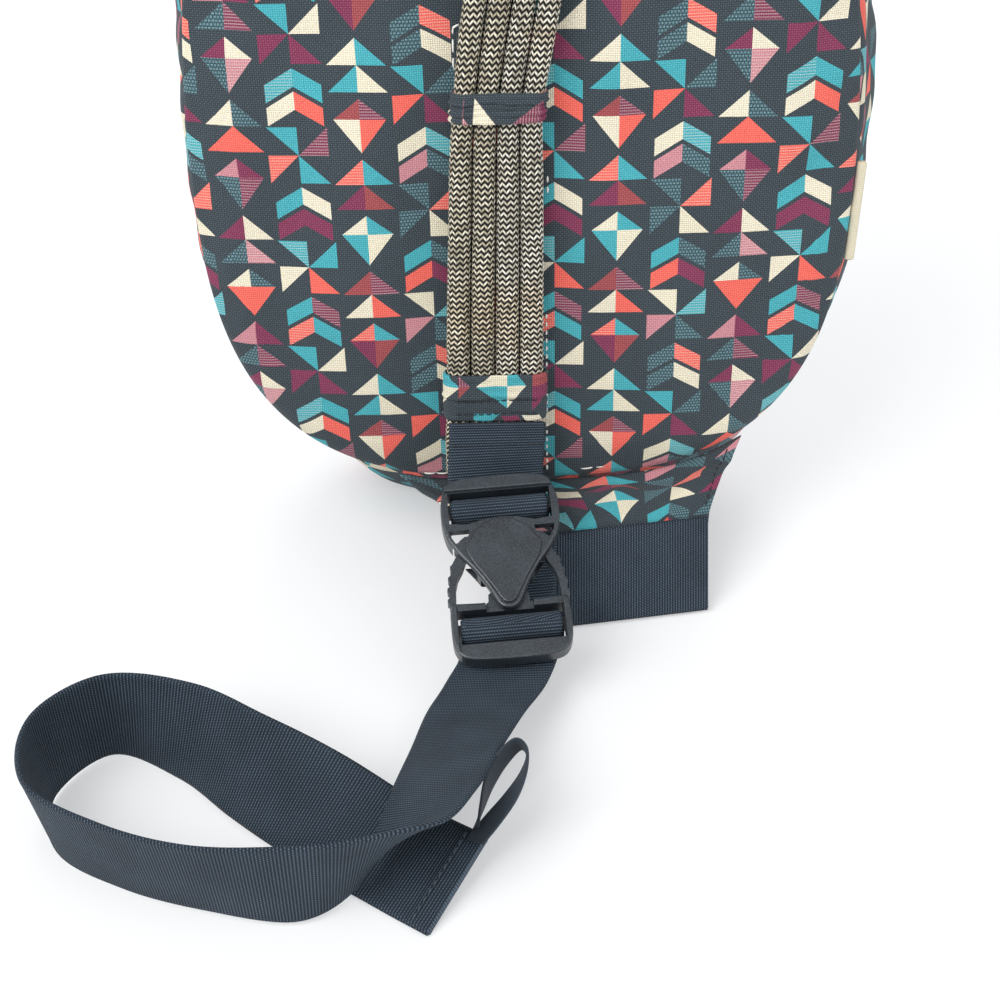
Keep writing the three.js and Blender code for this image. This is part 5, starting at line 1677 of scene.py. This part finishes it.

# %% [markdown]
# ## The two bands of webbing
#
# The webbing is made in two bands that meet at the buckle's bar: the first from
# the wing, the second on its way to the floor. A row of thread closes the hem at
# the end.

# %% Strap to the bar, and tail
TAIL_START, TAIL_HEM, HEM_STITCH_BACK = 133.0, 8.0, 6.6
wing_x = np.linspace(WING_RIGHT, wing_strap_end, 60)
lower_in = (on_wing(wing_x, FOLD_FOOT, strap_off), adjuster_left[: bar + 1])
upper_in = (on_wing(wing_x, FOLD_TOP, strap_off), adjuster_right[: bar + 1])
to_bar = (np.concatenate(lower_in), np.concatenate(upper_in))
blend_from = on_floor((-7, -74, 6.8)).tolist()
blend_to = on_floor((-7, -84.5, 16)).tolist()
strap(
    "wing_webbing", to_bar, ["wing_strap", "adjuster_strap"], "stretched",
    ["wing", "buckle_male"],
    across=("bag", "buckle_male_half", blend_from, blend_to), fanned=True,
)
strap(
    "strap_tail", (adjuster_left[bar:], adjuster_right[bar:]), [], "laid",
    ["floor", "buckle_male"],
    across=("buckle_male_half", "bag", (-0.006, -0.168, 0.02), (-0.05, -0.235, 0.02)),
    with_pieces=[tape_loop], start=TAIL_START, hem=TAIL_HEM,
)
hem_path = hem_low + hem_along * np.linspace(2.0, WEBBING_WIDTH - 2, 40)[:, None]
hem_path = hem_path - tail_along * HEM_STITCH_BACK
hem_path = hem_path + tape_side * WEBBING_THICKNESS * 0.85
hem_facing = np.broadcast_to(tape_side, hem_path.shape)
sewn("tail_hem_stitches", on_floor(hem_path), hem_facing, hem_thread, "webbing", 3.0)

# %% [markdown]
# ## The zip side
#
# The side that faces away from the wearer has three puffed panels, with a zip in
# each valley between them. Each panel is a closed grid: across it the height
# follows a full, round curve, and it falls off at both ends. Air and a little
# spare cloth give it its puckers.

# %% Zip side edges
ZIP_OFFSET, ZIP_FROM, ZIP_LENGTH, TAPE_WIDTH, TAB_LENGTH = 40.0, 66.0, 300.0, 14.0, 11.0
SLOT_RAMP, SEAM_INSET, NARROWEST = 1.5, 1.5, 2
right_side = slice(0, AROUND // 2 + 1)
wall_end = wall_offset(np.array(1.0), -out_z)
zip_side_z = (edge_z + out_z * wall_end)[right_side]
zip_side_x = (edge_x + out_x * wall_end)[right_side]
slot_low, slot_high = ZIP_FROM - TAB_LENGTH - 2, ZIP_FROM + ZIP_LENGTH + TAB_LENGTH + 2


def zip_edge(height, side):
    """The edge of a panel beside a zip: it opens round the zip and closes above
    and below it."""
    opened = np.clip((height - slot_low) / SLOT_RAMP + 1, 0, 1)
    opened = opened * np.clip((slot_high - height) / SLOT_RAMP + 1, 0, 1)
    return ZIP_OFFSET + side * (0.4 + (TAPE_WIDTH / 2 + 0.4) * opened)


def seam_edge(height):
    """The outer edge of the zip side, a little inside its seam."""
    return np.interp(height, zip_side_z, zip_side_x) - SEAM_INSET


def right_edges(height):
    """From the main zip to the seam, and at least a narrow strip."""
    inner = zip_edge(height, 1)
    return inner, np.maximum(inner + NARROWEST, seam_edge(height))


def left_edges(height):
    """The right panel's edges, mirrored."""
    inner, outer = right_edges(height)
    return -outer, -inner


def middle_edges(height):
    """From zip to zip, or from seam to seam where the bag is narrower."""
    edge = np.minimum(zip_edge(height, -1), seam_edge(height))
    edge = np.maximum(NARROWEST, edge)
    return -edge, edge


print("zip side from", round(zip_side_z.min()), "to", round(zip_side_z.max()), "mm")

# %% [markdown]
# ## The puffed panels
#
# Each panel has a flat back on the body and a full front. Its ends are lower, as
# cloth is that runs into a seam.

# %% Puffed panels
FRONT_PUFF, PUFF_SHARE, END_REACH, PUFF_CAP = 11.0, 0.3, 45, 2.6
PUFF_ROWS, PUFF_POINTS, BACK_POINTS = 74, 25, [-1, 16, 8, 0]


def puffed_panel(name, edges, low, high, node, seed):
    """Across: (1 - |2s - 1|^3)^0.6 times the puff. Along: a square root from
    each end. The back of the panel is flat."""
    slot = [slot_low - SLOT_RAMP, slot_low, slot_high, slot_high + SLOT_RAMP]
    height = np.sort(np.concatenate([np.linspace(low, high, PUFF_ROWS), slot]))
    height = np.clip(height, low, high)[:, None]
    a, b = edges(height)
    from_end = np.minimum(height - low, high - height)
    ends = 0.35 + 0.65 * np.minimum(1, np.sqrt(from_end / END_REACH))
    share = np.linspace(0, 1, PUFF_POINTS)
    share = 0.5 * (1 - np.cos(np.pi * share)) / 2 + 0.5 * share
    curve = np.maximum(0, 1 - np.abs(2 * share - 1) ** 3) ** 0.6
    base = depth_at(height) + 0.3
    x = a + (b - a) * share
    crease = 0.8 * ripple(x / 40.0, height / 26.0, seed) * curve
    puff = np.minimum(FRONT_PUFF, PUFF_SHARE * (b - a)) * ends * curve
    ring_x = np.concatenate([x, x[:, BACK_POINTS]], 1)
    flat_back = np.repeat(base, len(BACK_POINTS), 1)
    ring_y = np.concatenate([base + 1 + puff + crease, flat_back], 1)
    chart = chart_of(ring_x + 400.0, height + 13.0)
    chart = np.concatenate([chart, chart[:, :1]], 1)
    piece = skin(name, from_bag(ring_x, ring_y, height), chart)
    dress(piece, canvas, "printed_cloth", node)
    inside = np.pad((share > 0.01) & (share < 0.99), (0, len(BACK_POINTS)))
    free = inside[None, :] & (from_end > 0.5)
    inflate(piece, free, PUFF_CAP * free)


side_ends = zip_side_z.min() + 22, ZIP_FROM + ZIP_LENGTH + 48
middle_ends = zip_side_z.min() + 3, zip_side_z.max() - 4
for name, edges, ends, seed in (
    ("right", right_edges, side_ends, 41), ("left", left_edges, side_ends, 43),
    ("middle", middle_edges, middle_ends, 47),
):
    puffed_panel(f"puffed_panel_{name}", edges, *ends, f"front_panel_{name}", seed)

# %% [markdown]
# ## The zips
#
# A zip is a woven tape with a nylon coil on each half, and the turns of the two
# coils mesh along the middle. Every turn is one small bent tube. A cloth tab
# covers each end of the tape.

# %% Zips
COIL_PITCH, COIL_THICK, TURN_POINTS = 1.5, 0.52, 6
TAPE_BASE, TAPE_TOP, TAB_TOP, TAB_SOFT = 0.3, 1.2, 2.7, 0.6
slope = (DEPTH_AT_TOP - DEPTH_AT_BOTTOM) / BAG_HEIGHT
slope_long = math.hypot(1, slope)


def on_zip(middle, across, along, off):
    """A place on a zip: across its middle line, along it and off the bag."""
    y = depth_at(ZIP_FROM) + (along * slope + off) / slope_long
    return from_bag(middle + across, y, ZIP_FROM + (along - off * slope) / slope_long)


def slab(name, middle, half, low, high, top, finish, slot, node, rows, soft):
    """A flat piece on the zip's line: a section with rounded edges, lower towards
    its two ends by the share that soft gives."""
    along = np.linspace(low, high, rows)[:, None]
    turn = np.linspace(0, 2 * np.pi, 33)
    across = half * squared_off(np.cos(turn), 0.35)
    rise = (squared_off(np.sin(turn), 0.6) + 1) / 2
    end = np.minimum(along - low, high - along)
    off = TAPE_BASE + (top - TAPE_BASE) * rise * (1 - soft * np.exp(-end / 0.8))
    narrow = 1 - 0.3 * soft * np.exp(-end / 0.5)
    points = on_zip(middle, across * narrow, along, off)
    chart = chart_of(across + middle + 300.0, along)
    return dress(skin(name, points[:, :-1], chart), finish, slot, node)


def zip_coil(name, middle, node):
    """Two rows of bent tubes, half a step apart: each rises from the tape and
    comes down over the middle line."""
    t = np.linspace(0, 1, TURN_POINTS)
    row = np.arange(int((ZIP_LENGTH - 2) / COIL_PITCH) * 2)[:, None]
    across = np.where(row % 2 == 0, 1.0, -1.0) * (2.45 - 2.75 * t)
    along = 1.5 + row * COIL_PITCH / 2 + 0.25 * t
    off = 1.9 + 1.25 * np.sin(np.pi * (0.18 + 0.74 * t))
    thick = COIL_THICK * (0.7 + 0.3 * np.sin(np.pi * t))[:, None]
    along = along[..., None] + thick * np.cos(HEXAGON)
    off = off[:, None] + thick * np.sin(HEXAGON)
    rings = on_zip(middle, across[..., None], along, off)
    return dress(beads(name, rings), nylon_coil, "zip_tape", node)


for name, middle in (("main", ZIP_OFFSET), ("pocket", -ZIP_OFFSET)):
    slab(
        f"{name}_tape", middle, TAPE_WIDTH / 2, 0, ZIP_LENGTH, TAPE_TOP,
        zip_cloth, "zip_tape", f"{name}_zip_tape", 80, 0,
    )
    zip_coil(f"{name}_coil", middle, f"{name}_zip_chain")
    for end, low in (("bottom", -TAB_LENGTH - 0.3), ("top", ZIP_LENGTH + 0.3)):
        slab(
            f"{name}_{end}_tab", middle, TAPE_WIDTH / 2 + 0.3, low, low + TAB_LENGTH,
            TAB_TOP, canvas_turned, "printed_cloth", f"{name}_zip_{end}_tab", 24,
            TAB_SOFT,
        )

# %% [markdown]
# ## The side tab
#
# A short cream tape, folded in two, is caught in the seam at the right edge. Its
# section is a narrow loop that is rounder at the fold.

# %% Side tab
TAB_AT, TAB_LONG, TAB_OUT, TAB_HALF, TAB_BEHIND = 111.0, 38.0, 3.6, 1.25, -1.8
SLOPE_REACH = 15
edge_drift = float(half_width(TAB_AT + SLOPE_REACH) - half_width(TAB_AT - SLOPE_REACH))
tab_lean = math.atan2(edge_drift, 2 * SLOPE_REACH)


def side_tab():
    """Along the edge a straight run, across it a narrow loop: the outward reach
    is a half sine and the thickness a cosine."""
    along = np.linspace(-TAB_LONG / 2, TAB_LONG / 2, 60)[:, None]
    turn = np.linspace(0, 2 * np.pi, 29)
    corner = np.minimum(1, (TAB_LONG / 2 - np.abs(along)) / 0.6 + 0.75) ** 0.5
    out = TAB_OUT * (0.5 - 0.5 * np.cos(turn)) ** 0.7 * corner
    uneven = 1 + 0.12 * np.sin(along / 4.0)
    thick = TAB_HALF * squared_off(np.sin(turn), 0.5) * uneven
    edge = float(half_width(TAB_AT)) + 0.3
    x = edge + out * math.cos(tab_lean) + along * math.sin(tab_lean)
    z = TAB_AT + along * math.cos(tab_lean) - out * math.sin(tab_lean)
    points = from_bag(x, TAB_BEHIND - thick, z)[:, :-1]
    return skin("side_tab_tape", points, chart_of(turn * 2.0, along))


dress(side_tab(), cream_tape, "cream_tape", "side_tab")

# %% [markdown]
# ## Threads
#
# White thread shows where the rope strap was sewn down: a row beside the ropes, a
# bar beside them further up, and a few stitches at the lower seam. Dark thread
# closes the hem of the wing.

# %% Threads
PANEL_SEAMS = (
    ("rope_seam_stitches", (8.3, 8.3), (4.0, 76.0), 3.4, 0.88, 0.46),
    ("rope_seam_stitches_high", (9.0, 9.0), (123.0, 131.0), 3.6, 0.9, 0.46),
    (
        "bar_stitch", (-20.5, -23.6, -23.8, -22.0), (185.4, 183.8, 169.8, 169.6),
        5.6, 1.0, 0.42,
    ),
    ("lower_seam_stitches_right", (22.0, 33.0), (4.6, 6.0), 5.4, 0.96, 0.36),
    ("lower_seam_stitches_left", (-42.0, -32.0), (3.9, 3.7), 5.0, 0.96, 0.36),
)
WING_HEM, WING_HEM_OFF = (slice(31, 57), 106), 1.15


def sewn_on_panel(name, x, height, pitch, share, radius):
    """White stitches on the padded panel, through places given across and up."""
    t, stops = np.linspace(0, 1, 80), np.linspace(0, 1, len(x))
    x, height = np.interp(t, stops, x), np.interp(t, stops, height)
    path = from_bag(x, -pad_height(panel_reach(height)) - 0.3, height)
    facing = np.broadcast_to(into_air, path.shape)
    sewn(name, path, facing, white_thread, "cream_tape", pitch, share, radius)


for seam_row in PANEL_SEAMS:
    sewn_on_panel(*seam_row)
wing_facing = wing_up[WING_HEM]
wing_thread = on_floor(wing_middle[WING_HEM] + wing_facing * WING_HEM_OFF)
sewn("wing_hem_stitches", wing_thread, wing_facing, dark_thread, "printed_cloth", 3.0)

# %% [markdown]
# ## The buckle, the sliders and the pulls
#
# These are rigid, and the solids already have their shapes, so they only take a
# finish.

# %% Carried-over solids
REFINISHED = {
    "buckle_female": plastic, "buckle_male": plastic,
    "main_zip_slider": plated_metal, "main_zip_pull": cord_finish,
    "pocket_zip_slider": plated_metal, "pocket_zip_pull": cord_finish,
}
for node, finish in REFINISHED.items():
    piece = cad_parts[node]
    piece.data.materials.clear()
    piece.data.materials.append(finish)
print("carried-over solids refinished:", len(REFINISHED))

# %% [markdown]
